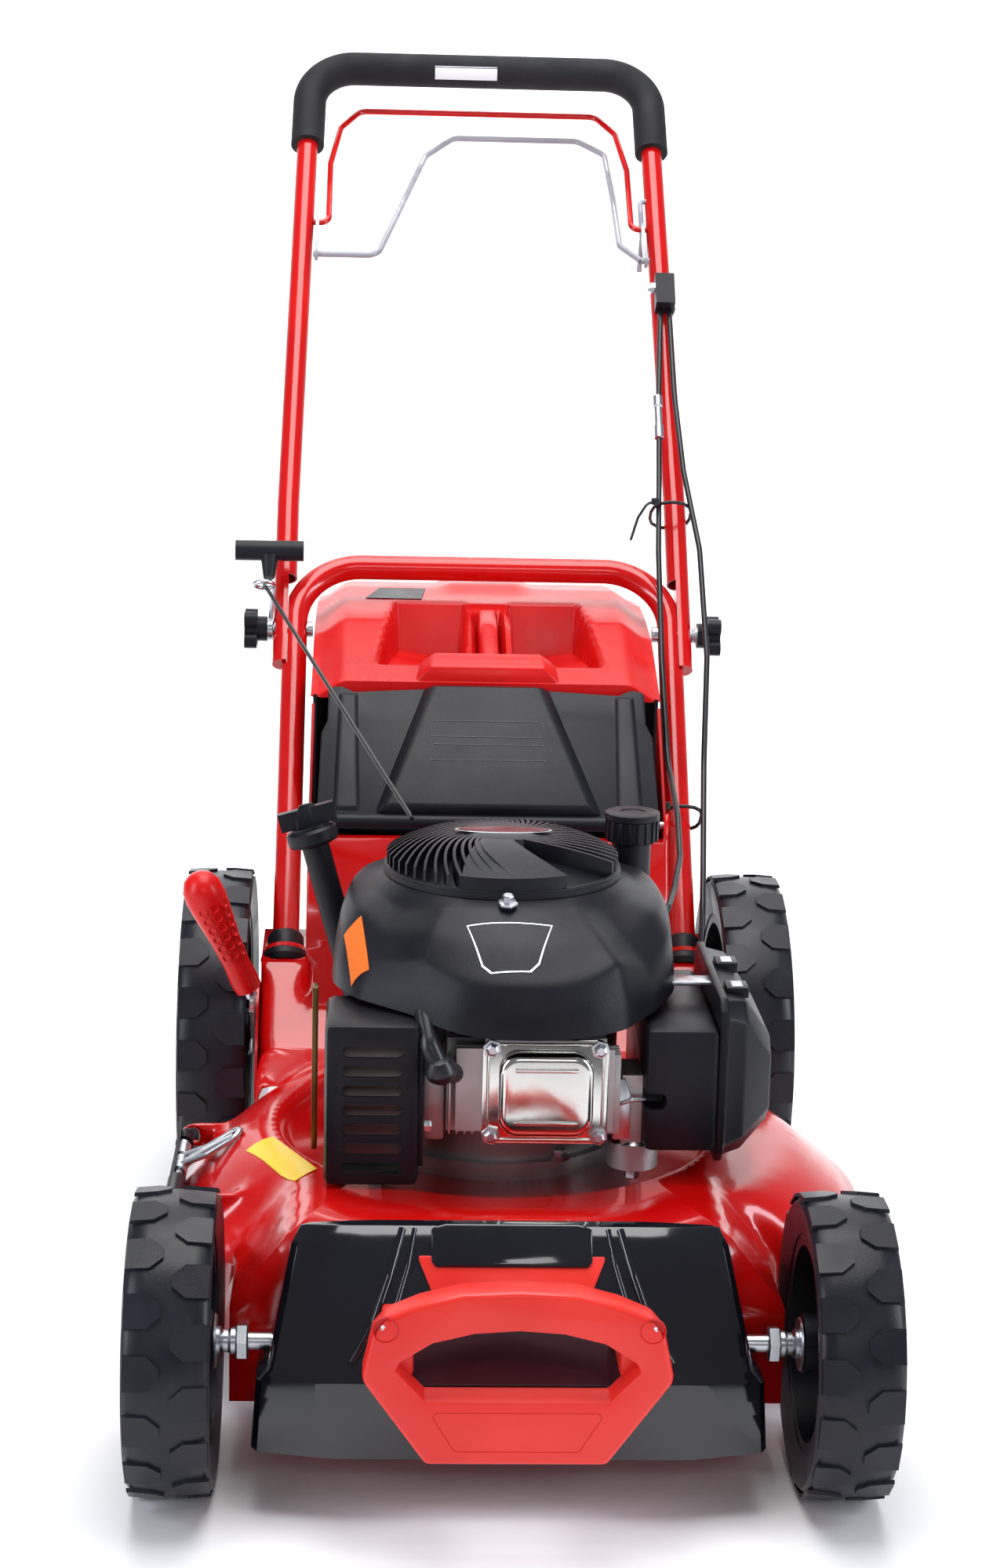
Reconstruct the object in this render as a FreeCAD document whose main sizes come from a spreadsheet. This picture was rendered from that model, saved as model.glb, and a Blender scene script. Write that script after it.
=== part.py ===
import FreeCAD, Part
import math
import os
import re
import Sketcher

# A self-propelled petrol lawn mower with a 46 cm pressed steel deck.
# Millimetres. +Z is up, -Y is the front, +X is the operator's left.
# The origin is the ground point under the crankshaft.

V = FreeCAD.Vector
doc = FreeCAD.newDocument("LawnMower")
sheet = doc.addObject("Spreadsheet::Sheet", "Sizes")

SIZES = {
    # wheels and axles
    "front_wheel_dia": 203, "rear_wheel_dia": 280, "tyre_width": 56, "front_rim_dia": 146,
    "rear_rim_dia": 212, "front_gauge": 193, "rear_gauge": 195, "front_axle_y": -250,
    "rear_axle_y": 310, "stub_dia": 12, "run_gap": 0.05, "front_tube_dia": 14, "rear_tube_dia": 16,
    "crank_fore": 38, "crank_rise": 9.5, "link_pin_dia": 8, "link_x": -144,
    "link_slack": 0.6, "hub_dia": 40,
    # deck
    "deck_wall": 2.5, "skirt_low": 52, "chamber_dia": 476, "skirt_high": 112, "ridge_dia": 364,
    "ridge_high": 170, "dish_dia": 326, "plate_high": 157, "bulge_shift": 33, "bulge_front": -136,
    "bulge_back": 148, "front_half": 186, "front_edge": -236, "rear_half": 185, "rear_end": 345,
    "shoulder_high": 230, "tunnel_half": 148, "flap_axis_y": 250, "flap_axis_z": 340,
    "flap_slope": 43, "flap_length": 137, "flap_half": 141, "chute_front": -88, "chute_back": 40,
    "chute_low": 62, "chute_high": 106, "socket_dia": 34, "socket_deep": 34,
    # front cover and carrying bumper
    "cover_wall": 3, "cover_front": -306, "cover_low": 45, "cover_step": 98, "cover_half": 169,
    "cover_high": 182, "bumper_front": -370, "bumper_half": 97, "bumper_high": 186,
    "bumper_low": 70, "bumper_thick": 24, "slot_half": 66,
    # handle
    "leg_x": 166, "leg_dia": 22, "leg_foot_y": 262, "leg_foot_z": 223, "leg_run": 312,
    "bar_run": 377, "leg_slope": 50.8, "bar_radius": 58, "tube_wall": 1.5, "upper_dia": 20,
    "upper_x": 175, "grip_x": 165.5, "upper_run": 639, "bend_run": 130, "grip_radius": 52,
    "grip_dia": 32, "grip_drop": 122, "lap_low": 36, "lap_high": 52, "lap_gap": 0.5,
    "lap_x": 171.8, "bolt_dia": 8, "bail_run": 449, "bail_dia": 6, "bail_length": 178,
    "brake_slope": 37, "drive_slope": 30.4, "drive_length": 164, "drive_drop": 56,
    "bracket_run": 360, "knob_dia": 40,
    # engine
    "ring_dia": 190, "ring_high": 170, "case_dia": 176, "case_high": 262, "bore_x": 27,
    "bore_z": 239, "shaft_dia": 25, "blade_length": 455, "blade_width": 55, "blade_thick": 4,
    "blade_z": 72, "cowl_half": 127, "cowl_low": 290, "cowl_high": 352, "cowl_wall": 3,
    "recoil_dia": 171, "recoil_rim": 369, "recoil_top": 394, "flywheel_dia": 150,
    "spool_dia": 70, "tank_high": 340, "filler_x": 104, "filler_y": 95, "filler_cap_dia": 41,
    "dip_x": -140, "dip_y": 80, "dip_z": 366, "dip_lean": 16, "dip_dia": 21,
    "cover_x": 148, "rope_dia": 3.5,
    # grass box
    "box_front": 353, "box_back": 850, "box_half": 147, "box_wall": 3,
    "lid_front_z": 436, "lid_back_z": 489, "box_low": 196,
}
for row, (word, number) in enumerate(SIZES.items(), 1):
    sheet.set("A%d" % row, word)
    sheet.set("B%d" % row, str(number))
    sheet.setAlias("B%d" % row, word)
doc.recompute()

WORDS = re.compile(r"\b(" + "|".join(sorted(SIZES, key=len, reverse=True)) + r")\b")
parts = {}


def link(text):
    """Turn size names in an expression into references to the sheet."""
    return WORDS.sub(r"Sizes.\1", str(text))


def size(text):
    """The present value of an expression of sizes."""
    return float(sheet.evalExpression(link(text)))


def bind(thing, **sizes):
    for name, text in sizes.items():
        thing.setExpression(name.replace("__", "."), link(text))
    return thing


TURN = {"Z": FreeCAD.Rotation(), "X": FreeCAD.Rotation(V(0, 1, 0), 90),
        "Y": FreeCAD.Rotation(V(1, 0, 0), -90)}


def put(thing, at, along="Z"):
    thing.Placement = FreeCAD.Placement(V(), TURN[along])
    bind(thing, Placement__Base__x=at[0], Placement__Base__y=at[1], Placement__Base__z=at[2])
    return thing


def cylinder(dia, length, at, along="Z"):
    rod = doc.addObject("Part::Cylinder", "Round")
    bind(rod, Radius="(%s)/2" % dia, Height=length)
    return put(rod, at, along)


def cone(low_dia, high_dia, length, at, along="Z"):
    taper = doc.addObject("Part::Cone", "Taper")
    bind(taper, Radius1="(%s)/2" % low_dia, Radius2="(%s)/2" % high_dia, Height=length)
    return put(taper, at, along)


def block(low, high):
    brick = doc.addObject("Part::Box", "Block")
    sides = ["(%s)-(%s)" % (b, a) for a, b in zip(low, high)]
    bind(brick, Length=sides[0], Width=sides[1], Height=sides[2])
    return put(brick, low)


def fuse(*pieces):
    whole = doc.addObject("Part::MultiFuse", "Joined")
    whole.Shapes = list(pieces)
    return whole


def cut(body, *tools):
    rest = doc.addObject("Part::Cut", "Remainder")
    rest.Base = body
    rest.Tool = tools[0] if len(tools) == 1 else fuse(*tools)
    return rest


def common(*pieces):
    shared = doc.addObject("Part::MultiCommon", "Shared")
    shared.Shapes = list(pieces)
    return shared


def outline(body, plane, points, offset="0"):
    """A closed straight-sided sketch whose corners are bound to the sheet."""
    sketch = body.newObject("Sketcher::SketchObject", "Outline")
    face = [item for item in body.Origin.OriginFeatures if item.Role == plane][0]
    sketch.AttachmentSupport = [(face, "")]
    sketch.MapMode = "FlatFace"
    spots = [V(size(a), size(b), 0) for a, b in points]
    for i, spot in enumerate(spots):
        sketch.addGeometry(Part.LineSegment(spot, spots[(i + 1) % len(spots)]), False)
    for i in range(len(spots)):
        sketch.addConstraint(Sketcher.Constraint("Coincident", i, 2, (i + 1) % len(spots), 1))
    for i, pair in enumerate(points):
        for kind, text, value in zip(("DistanceX", "DistanceY"), pair, spots[i]):
            index = sketch.addConstraint(Sketcher.Constraint(kind, -1, 1, i, 1, value))
            sketch.renameConstraint(index, "corner%d%s" % (i, kind[-1]))
            sketch.setExpression("Constraints.corner%d%s" % (i, kind[-1]), link(text))
    sketch.setExpression("AttachmentOffset.Base.z", link(offset))
    return sketch


def pad(plane, points, length, offset="0"):
    """A body padded from an outline at an offset; XZ pads run from there towards -Y."""
    if plane == "XZ_Plane":
        offset = "-(%s)" % offset
    body = doc.addObject("PartDesign::Body", "Padded")
    sketch = outline(body, plane, points, offset)
    feature = body.newObject("PartDesign::Pad", "Pad")
    feature.Profile = sketch
    feature.setExpression("Length", link(length))
    return body


def turned(points, at=("0", "0", "0"), along="Z"):
    """A body revolved from half a section given as (radius, height) corners."""
    body = doc.addObject("PartDesign::Body", "Turned")
    sketch = outline(body, "XZ_Plane", points)
    feature = body.newObject("PartDesign::Revolution", "Revolution")
    feature.Profile = sketch
    feature.ReferenceAxis = (sketch, ["V_Axis"])
    feature.Angle = 360
    return put(body, at, along)


def coded(shape):
    """A piece whose shape has no plain feature, such as a bent tube."""
    thing = doc.addObject("Part::Feature", "Formed")
    thing.Shape = shape
    thing.Placement = shape.Placement
    return thing


def part(name, thing):
    thing.Label = name
    parts[name] = thing
    return thing


def bent_path(points, radius):
    """Straight runs joined by tangent arcs, each as large as asked and as its runs allow."""
    points = [V(*p) for p in points]
    edges = []
    start = points[0]
    for before, corner, after in zip(points, points[1:], points[2:]):
        into = (corner - before).normalize()
        out = (after - corner).normalize()
        half = into.getAngle(out) / 2
        if half < 0.002:
            continue
        run = min(corner.distanceToPoint(before), corner.distanceToPoint(after))
        bend = min(radius, 0.45 * run / math.tan(half))
        back = bend * math.tan(half)
        first = corner - into * back
        last = corner + out * back
        middle = (out - into).normalize() * (bend / math.cos(half) - bend) + corner
        if start.distanceToPoint(first) > 1e-6:
            edges.append(Part.LineSegment(start, first).toShape())
        edges.append(Part.Arc(first, middle, last).toShape())
        start = last
    edges.append(Part.LineSegment(start, points[-1]).toShape())
    return Part.Wire(edges)


def swept(points, dia, radius):
    """A round bar along a bent path."""
    path = bent_path(points, radius)
    aim = V(*points[1]) - V(*points[0])
    ring = Part.Wire([Part.Circle(V(*points[0]), aim, dia / 2).toShape()])
    bar = path.makePipeShell([ring], True, False)
    wanted = path.Length * math.pi * dia * dia / 4
    assert abs(bar.Volume - wanted) < 0.01 * wanted, "a bent tube lost its section"
    return bar


def tube(points, dia, wall, radius):
    return swept(points, dia, radius).cut(swept(points, dia - 2 * wall, radius))


def mirrored(shape):
    return shape.mirror(V(), V(1, 0, 0))


def prism(corners, low, high):
    wire = Part.makePolygon([V(x, y, low) for x, y in corners] + [V(corners[0][0], corners[0][1], low)])
    return Part.Face(wire).extrude(V(0, 0, high - low))


# ---- wheels ---------------------------------------------------------------------------------
def wheel(place, side, dia, rim_dia, gauge, y):
    """A ribbed rubber tyre on a dished plastic rim; gauge is the tyre's inner face."""
    half = "tyre_width/2"
    middle = ("%s(%s+%s)" % (side, gauge, half), y, "%s/2" % dia)
    tyre = turned([("%s/2" % rim_dia, "-%s+5" % half), ("%s/2-6" % dia, "-%s" % half),
                   ("%s/2" % dia, "-%s+7" % half), ("%s/2" % dia, "%s-7" % half),
                   ("%s/2-6" % dia, half), ("%s/2" % rim_dia, "%s-5" % half)], middle, "X")
    part("tyre_" + place, tyre)
    bore = "stub_dia/2+run_gap"
    rim = turned([(bore, "-%s+3" % half), ("hub_dia/2", "-%s+3" % half), ("hub_dia/2", "-3"),
                  ("%s/2-8" % rim_dia, "-3"), ("%s/2-8" % rim_dia, "-%s+5" % half),
                  ("%s/2" % rim_dia, "-%s+5" % half), ("%s/2" % rim_dia, "%s-5" % half),
                  ("%s/2-8" % rim_dia, "%s-5" % half), ("%s/2-8" % rim_dia, "3"),
                  ("hub_dia/2", "3"), ("hub_dia/2", "%s-3" % half), (bore, "%s-3" % half)],
                 middle, "X")
    part("rim_" + place, rim)


for place, side in (("left", ""), ("right", "-")):
    wheel("front_" + place, side, "front_wheel_dia", "front_rim_dia", "front_gauge", "front_axle_y")
    wheel("rear_" + place, side, "rear_wheel_dia", "rear_rim_dia", "rear_gauge", "rear_axle_y")

# ---- cranked axles and the height linkage ---------------------------------------------------
front_pivot = ("front_axle_y-crank_fore", "front_wheel_dia/2-crank_rise")
rear_pivot = ("rear_axle_y-crank_fore", "rear_wheel_dia/2-crank_rise")


def link_plate(x_low, x_high, first, last, wide):
    """A flat link across X with round ends at two (y, z) centres."""
    ends = [cylinder(wide, "(%s)-(%s)" % (x_high, x_low), (x_low, y, z), "X") for y, z in (first, last)]
    y1, z1, y2, z2 = [size(t) for t in first + last]
    aim = V(0, y2 - y1, z2 - z1)
    side = V(0, -aim.z, aim.y).normalize() * (size(wide) / 2)
    a, b = V(size(x_low), y1, z1), V(size(x_low), y2, z2)
    web = Part.Face(Part.makePolygon([a + side, b + side, b - side, a - side, a + side]))
    return fuse(ends[0], ends[1], coded(web.extrude(V(size(x_high) - size(x_low), 0, 0))))


front_hub = ("front_axle_y", "front_wheel_dia/2")
rear_hub = ("rear_axle_y", "rear_wheel_dia/2")
part("front_axle", fuse(
    cylinder("front_tube_dia", "306", ("-153",) + front_pivot, "X"),
    link_plate("-153", "-148", front_pivot, front_hub, "14"),
    link_plate("148", "153", front_pivot, front_hub, "14"),
    cylinder("stub_dia", "front_gauge+tyre_width-148", ("148",) + front_hub, "X"),
    cylinder("stub_dia", "front_gauge+tyre_width-148", ("-front_gauge-tyre_width",) + front_hub, "X"),
    cylinder("link_pin_dia", "148+link_x+10", ("-148",) + front_hub, "X")))
carriage = fuse(
    cylinder("rear_tube_dia", "rear_half*2+1", ("-rear_half-3",) + rear_pivot, "X"),
    link_plate("-177", "-171", rear_pivot, rear_hub, "24"),
    link_plate("171", "177", rear_pivot, rear_hub, "24"))
part("rear_carriage", cut(carriage, cylinder("stub_dia", "400", ("-200",) + rear_hub, "X")))
rod_x = "link_x+0.5"
ROD_DIPS = [(-205, 114), (150, 122), (235, 172), (282, 176)]
rod_line = [(size("link_x") + 4.5, y, z) for y, z in
            [(size("front_axle_y"), size("front_wheel_dia/2"))] + ROD_DIPS +
            [(size("rear_axle_y"), size("rear_wheel_dia/2"))]]
rod_bar = swept(rod_line, 7, 12)
part("height_rod", cut(
    fuse(coded(rod_bar), cylinder("16", "8", (rod_x,) + front_hub, "X"),
         cylinder("22", "8", (rod_x,) + rear_hub, "X")),
    cylinder("link_pin_dia+2*link_slack", "12", (rod_x + "-1",) + front_hub, "X"),
    cylinder("stub_dia+2*run_gap", "12", (rod_x + "-1",) + rear_hub, "X")))
part("drive_axle", cylinder("stub_dia", "2*(rear_gauge+tyre_width)",
                            ("-rear_gauge-tyre_width",) + rear_hub, "X"))
gear_case = fuse(block(("0", "rear_axle_y-22", "rear_wheel_dia/2-30"),
                       ("70", "rear_axle_y+30", "rear_wheel_dia/2+30")),
                 cylinder("44", "96", ("-13",) + rear_hub, "X"))
part("gearbox", cut(gear_case, cylinder("stub_dia", "120", ("-20",) + rear_hub, "X")))

# height lever: a flat steel arm beside the tyre, bent outwards under a red plastic grip
lever_top = ("168", "210")
lever_x = "-rear_half-6"
grip_foot = V(size("-rear_half-4.5"), 168, 214)
grip_head = V(-235, 165, 316)
grip_aim = (grip_head - grip_foot).normalize()
lever_rod = Part.makeCylinder(5, 96, grip_foot, grip_aim)
part("height_lever", fuse(link_plate(lever_x, lever_x + "+3", rear_pivot, lever_top, "20"),
                          coded(lever_rod)))
grip_half = [(5, 8), (11, 8), (12.5, 20), (11.5, 40), (14, 75), (14.5, 95), (12, 106), (6, 111), (0, 112),
             (0, 96), (5, 96)]
grip_face = Part.Face(Part.makePolygon([V(x, 0, z) for x, z in grip_half + grip_half[:1]]))
grip_shape = grip_face.revolve(V(), V(0, 0, 1), 360)
grip_shape.Placement = FreeCAD.Placement(grip_foot, FreeCAD.Rotation(V(0, 0, 1), grip_aim))
part("height_grip", coded(grip_shape))

# ---- deck -----------------------------------------------------------------------------------
def deck_volume(wall, low):
    """The deck's outer form, or the hollow inside it when a wall is given."""
    w = "-(%s)" % wall
    top = "ridge_high" + w
    chamber = turned([("0", low), ("chamber_dia/2" + w, low), ("chamber_dia/2" + w, "skirt_high"),
                      ("ridge_dia/2+4", top), ("0", top)])
    bulge = common(
        fuse(cylinder("chamber_dia-2*(%s)" % wall, "skirt_high+8-(%s)" % low, ("bulge_shift", "0", low)),
             cone("chamber_dia-2*(%s)" % wall, "ridge_dia+10", "44" + w,
                  ("bulge_shift", "0", "skirt_high+8"))),
        block(("0", "bulge_front+(%s)" % wall, low), ("300", "bulge_back" + w, "200")))
    half = "front_half" + w
    front = pad("XZ_Plane", [("-(%s)" % half, low), (half, low), (half, "skirt_high+8"),
                             ("front_half-38", top), ("-front_half+38", top),
                             ("-(%s)" % half, "skirt_high+8")],
                "-100-front_edge" + w, "-100")
    shoulder = pad("YZ_Plane", [("120", low), ("rear_end+%s" % ("0" if wall == "0" else "5"), low),
                                ("rear_end+%s" % ("0" if wall == "0" else "5"), "shoulder_high-10" + w),
                                ("rear_end-30", "shoulder_high" + w), ("rear_end-105", "shoulder_high-6" + w),
                                ("175", "ridge_high" + w), ("120", "plate_high-5")],
                   "2*(rear_half%s)" % w, "-rear_half+(%s)" % wall)
    open_end = "0" if wall == "0" else "6"
    tunnel = pad("YZ_Plane", [("195", "150"), ("rear_end+" + open_end, "150"),
                              ("rear_end+" + open_end, "flap_axis_z+80+2*" + open_end),
                              ("flap_axis_y+6", "flap_axis_z-6+2*" + open_end),
                              ("flap_axis_y-8+(%s)" % wall, "flap_axis_z-12"),
                              ("215+(%s)" % wall, "250")],
                 "2*(tunnel_half%s)" % w, "-tunnel_half+(%s)" % wall)
    dish = turned([("0", "plate_high" + w), ("dish_dia/2-12", "plate_high" + w),
                   ("dish_dia/2+(%s)" % wall, "ridge_high+1"), ("dish_dia/2+(%s)" % wall, "176"),
                   ("0", "176")])
    dish_cut = common(dish, block(("-200", "-200", "100"), ("200", "150+(%s)" % wall, "200")))
    return fuse(cut(fuse(chamber, bulge, front), dish_cut), shoulder, tunnel)


outer = deck_volume("0", "skirt_low")
inner = deck_volume("deck_wall", "skirt_low-10")
leg_aim = V(0, math.cos(math.radians(size("leg_slope"))), math.sin(math.radians(size("leg_slope"))))
leg_foot = V(size("leg_x"), size("leg_foot_y"), size("leg_foot_z"))
socket_base = leg_foot - leg_aim * (size("socket_deep") + 4)
socket_solid = Part.makeCylinder(size("socket_dia") / 2, size("socket_deep") + 8, socket_base, leg_aim)
socket_hole = Part.makeCylinder(size("leg_dia") / 2 + 0.1, 80, leg_foot - leg_aim * size("socket_deep"), leg_aim)
pivot_y, pivot_z = front_pivot
axle_ears = [pad("YZ_Plane", [("front_edge+1", pivot_z + "-14"), (pivot_y + "-9", pivot_z + "-14"),
                              (pivot_y + "-9", pivot_z + "+4"), (pivot_y + "+14", pivot_z + "+26"),
                              ("front_edge+1", pivot_z + "+40")], "6", x) for x in ("-128", "122")]
hinge_y = ("chute_front-14", "chute_back+8")
hinge_ears = [block(("-chamber_dia/2-2", y, "130"), ("-chamber_dia/2+66", y + "+6", "148")) for y in hinge_y]
flap_ears = [block((x, "flap_axis_y-9", "flap_axis_z-24"), (x + "+4", "flap_axis_y+6", "flap_axis_z+9"))
             for x in ("-tunnel_half", "tunnel_half-4")]
slots = [block((x, "rear_axle_y-22", "rear_wheel_dia/2-36"), (x + "+14", "rear_axle_y+14", "rear_wheel_dia/2+36"))
         for x in ("-rear_half-6", "rear_half-8")]
deck = cut(
    fuse(cut(fuse(outer, *hinge_ears), inner), coded(socket_solid), coded(mirrored(socket_solid)), *axle_ears,
         *flap_ears),
    coded(socket_hole), coded(mirrored(socket_hole)),
    cylinder("front_tube_dia+2*run_gap", "400", ("-200",) + front_pivot, "X"),
    cylinder("rear_tube_dia+2*run_gap", "400", ("-200",) + rear_pivot, "X"),
    cylinder("shaft_dia+12", "60", ("0", "0", "120")),
    cylinder("7.2", "chute_back-chute_front+60", ("-chamber_dia/2+4", "chute_front-24", "139"), "Y"),
    cylinder("6.2", "400", ("-200", "flap_axis_y", "flap_axis_z"), "X"),
    block(("link_x-4", "front_edge-2", "front_wheel_dia/2-30"), ("link_x+12", "front_edge+6", "front_wheel_dia/2+30")),
    block(("-300", "chute_front", "chute_low"), ("-170", "chute_back", "chute_high")), *slots)
part("deck_shell", deck)
quadrant = pad("YZ_Plane", [("110", "130"), ("200", "130"), ("255", "150"), ("250", "200"), ("205", "218"),
                            ("150", "205"), ("112", "165")], "2", "-rear_half-2")
part("height_quadrant", common(quadrant, cylinder("224", "20", ("-rear_half-10",) + rear_pivot, "X")))

# side discharge flap on a sprung rod
flap_x = "-chamber_dia/2+4"
part("side_hinge", cylinder("7", "chute_back-chute_front+34", (flap_x, "chute_front-17", "139"), "Y"))
flap_leaf = pad("XZ_Plane", [(flap_x + "-3", "144"), (flap_x + "+3", "144"), (flap_x + "-8", "118"),
                             (flap_x + "-19", "66"), (flap_x + "-24", "58"), (flap_x + "-27", "60"),
                             (flap_x + "-22", "68"), (flap_x + "-14", "118")],
                "chute_back-chute_front+12", "chute_back+6")
barrel = cylinder("13", "chute_back-chute_front+12", (flap_x, "chute_front-6", "139"), "Y")
part("side_flap", cut(fuse(flap_leaf, barrel),
                      cylinder("7.2", "chute_back-chute_front+40", (flap_x, "chute_front-20", "139"), "Y")))

# front cover: a gloss black moulding over the front axle
def cover_volume(wall):
    w = "-(%s)" % wall
    low = "cover_low" if wall == "0" else "cover_low-10"
    side = pad("YZ_Plane", [("front_edge-1+3*(%s)" % wall, low), ("front_edge-1+3*(%s)" % wall, "cover_high-6" + w),
                            ("front_edge-10", "cover_high" + w), ("cover_front+8+(%s)" % wall, "cover_step+4" + w),
                            ("cover_front+(%s)" % wall, "cover_step" + w), ("cover_front-4+(%s)" % wall, low)],
               "2*(cover_half%s)" % w, "-cover_half+(%s)" % wall)
    face = pad("XZ_Plane", [("-cover_half+(%s)" % wall, low), ("cover_half" + w, low),
                            ("cover_half-4" + w, "cover_step"), ("122" + w, "cover_high+2"),
                            ("-122+(%s)" % wall, "cover_high+2"), ("-cover_half+4+(%s)" % wall, "cover_step")],
               "120", "-210")
    return common(side, face)


cover_slots = [block((x, "front_axle_y-24", "front_wheel_dia/2-34"), (x + "+40", "front_axle_y+16", "front_wheel_dia/2+34"))
               for x in ("-cover_half-8", "cover_half-32")]
part("front_cover", cut(cover_volume("0"), cover_volume("cover_wall"), *cover_slots))

# red carrying bumper with a hand slot, held to the cover by two arms
bumper_back = "bumper_front+bumper_thick"
arch = pad("XZ_Plane", [("-58", "bumper_low"), ("58", "bumper_low"), ("bumper_half", "132"), ("90", "160"),
                        ("62", "178"), ("30", "bumper_high"), ("-30", "bumper_high"), ("-62", "178"),
                        ("-90", "160"), ("-bumper_half", "132")], "bumper_thick", bumper_back)
face_tilt = "(front_edge-18-cover_front)/(cover_high-cover_step-4)"
arms = [pad("YZ_Plane", [("bumper_front+bumper_thick-4", "120"),
                         ("cover_front+8+(116-cover_step)*" + face_tilt, "120"),
                         ("cover_front+8+(142-cover_step)*" + face_tilt, "146"),
                         ("bumper_front+bumper_thick-4", "146")], "22", x) for x in ("-86", "64")]
grip_slot = pad("XZ_Plane", [("-50", "116"), ("50", "116"), ("slot_half", "136"), ("34", "154"), ("-34", "154"),
                             ("-slot_half", "136")], "bumper_thick+20", bumper_back + "+10")
part("front_bumper", cut(fuse(arch, *arms), grip_slot))

# ---- handle ---------------------------------------------------------------------------------
def along_leg(run, x, lift=0.0):
    """A point on the handle's slope: run from the joint, lift off it towards the front."""
    joint = leg_foot + leg_aim * size("leg_run")
    front = V(0, -leg_aim.z, leg_aim.y)
    spot = joint + leg_aim * run + front * lift
    return V(x, spot.y, spot.z)


leg_x = size("leg_x")
foot = leg_foot - leg_aim * size("socket_deep")
bar = leg_foot + leg_aim * size("bar_run")
lower_path = [(-leg_x, foot.y, foot.z), (-leg_x, bar.y, bar.z), (leg_x, bar.y, bar.z), (leg_x, foot.y, foot.z)]
lower = coded(tube(lower_path, size("leg_dia"), size("tube_wall"), size("bar_radius")))
joint = along_leg(0, 0)


def lap_box(x_low, x_high, run_low, run_high):
    """A block square to the handle's slope, beside the joint."""
    brick = Part.makeBox(x_high - x_low, run_high - run_low, 60, V(x_low, run_low, -30))
    turn = FreeCAD.Rotation(V(1, 0, 0), size("leg_slope"))
    brick.Placement = FreeCAD.Placement(joint, turn)
    return brick


lap_x = size("lap_x")
lap_low, lap_high = size("lap_low"), size("lap_high")
outside = lap_box(lap_x, lap_x + 30, -lap_low - 3, 40)
bolt_hole = cylinder("bolt_dia+4*run_gap", "500", ("-250", str(joint.y), str(joint.z)), "X")
plug_solid = Part.makeCylinder(size("leg_dia") / 2 - 0.2, 34, along_leg(-20, leg_x), leg_aim)
flat_leg = cut(fuse(lower, coded(plug_solid), coded(mirrored(plug_solid))),
               coded(outside), coded(mirrored(outside)), bolt_hole)
part("lower_handle", flat_leg)

upper_end = along_leg(-lap_low, size("upper_x"))
upper_bend = along_leg(size("bend_run"), size("upper_x"))
upper_top = along_leg(size("upper_run"), size("grip_x"))
upper_path = [upper_end, upper_bend, upper_top]
upper_path = upper_path + [V(-p.x, p.y, p.z) for p in reversed(upper_path)]
upper_path = [tuple(p) for p in upper_path]
upper_tube = tube(upper_path, size("upper_dia"), size("tube_wall"), size("grip_radius"))
inside = lap_box(120, lap_x + size("lap_gap"), -lap_low - 20, lap_high)
upper_plug = Part.makeCylinder(size("upper_dia") / 2 - 0.2, lap_low + lap_high, upper_end, leg_aim)
bail_pivot = along_leg(size("bail_run"), 0)
part("upper_handle", cut(
    fuse(coded(upper_tube), coded(upper_plug), coded(mirrored(upper_plug))),
    coded(inside), coded(mirrored(inside)),
    cylinder("bolt_dia+4*run_gap", "500", ("-250", str(joint.y), str(joint.z)), "X"),
    cylinder("bail_dia+2*run_gap", "2*grip_x+4", ("-grip_x-2", str(bail_pivot.y), str(bail_pivot.z)), "X")))
share = 1 - size("grip_drop") / size("upper_run")
drop = V(*upper_path[1]) + (V(*upper_path[2]) - V(*upper_path[1])) * share
grip_path = [tuple(drop), upper_path[2], upper_path[3], (-drop.x, drop.y, drop.z)]
upper_bar = swept(upper_path, size("upper_dia"), size("grip_radius"))
part("foam_grip", coded(swept(grip_path, size("grip_dia"), size("grip_radius")).cut(upper_bar)))

bolt_in = size("leg_x") - size("leg_dia") / 2
bolts = []
for side in (1, -1):
    shank = Part.makeCylinder(size("bolt_dia") / 2, 48, V(bolt_in, joint.y, joint.z), V(1, 0, 0))
    head = Part.makeCylinder(7, 5, V(bolt_in - 5, joint.y, joint.z), V(1, 0, 0))
    bolt = shank.fuse(head)
    bolts.append(bolt if side > 0 else mirrored(bolt))
part("handle_bolts", coded(Part.makeCompound(bolts)))
knob_x = size("upper_x") + size("upper_dia") / 2 + 5
for place, side in (("left", 1), ("right", -1)):
    lobes = Part.makeCylinder(11, 20, V(knob_x, joint.y, joint.z), V(1, 0, 0))
    for turn in range(4):
        angle = math.radians(45 + 90 * turn)
        reach = size("knob_dia") / 2 - 7
        lobe = Part.makeCylinder(7, 11, V(knob_x + 9, joint.y + reach * math.cos(angle),
                                          joint.z + reach * math.sin(angle)), V(1, 0, 0))
        arm = Part.makeBox(11, reach, 10, V(knob_x + 9, 0, -5))
        arm.Placement = FreeCAD.Placement(V(0, joint.y, joint.z), FreeCAD.Rotation(V(1, 0, 0), 45 + 90 * turn))
        lobes = lobes.fuse(lobe).fuse(arm)
    bore = Part.makeCylinder(size("bolt_dia") / 2 + 0.08, 16.5, V(knob_x - 1, joint.y, joint.z), V(1, 0, 0))
    knob = lobes.cut(bore)
    part("knob_" + place, coded(knob if side > 0 else mirrored(knob)))

# bails: sprung wire loops under the grip, both turning on the brake bail's ends
def bail_point(x, reach, slope):
    angle = math.radians(size(slope))
    return (x, bail_pivot.y + reach * math.cos(angle), bail_pivot.z + reach * math.sin(angle))


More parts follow.
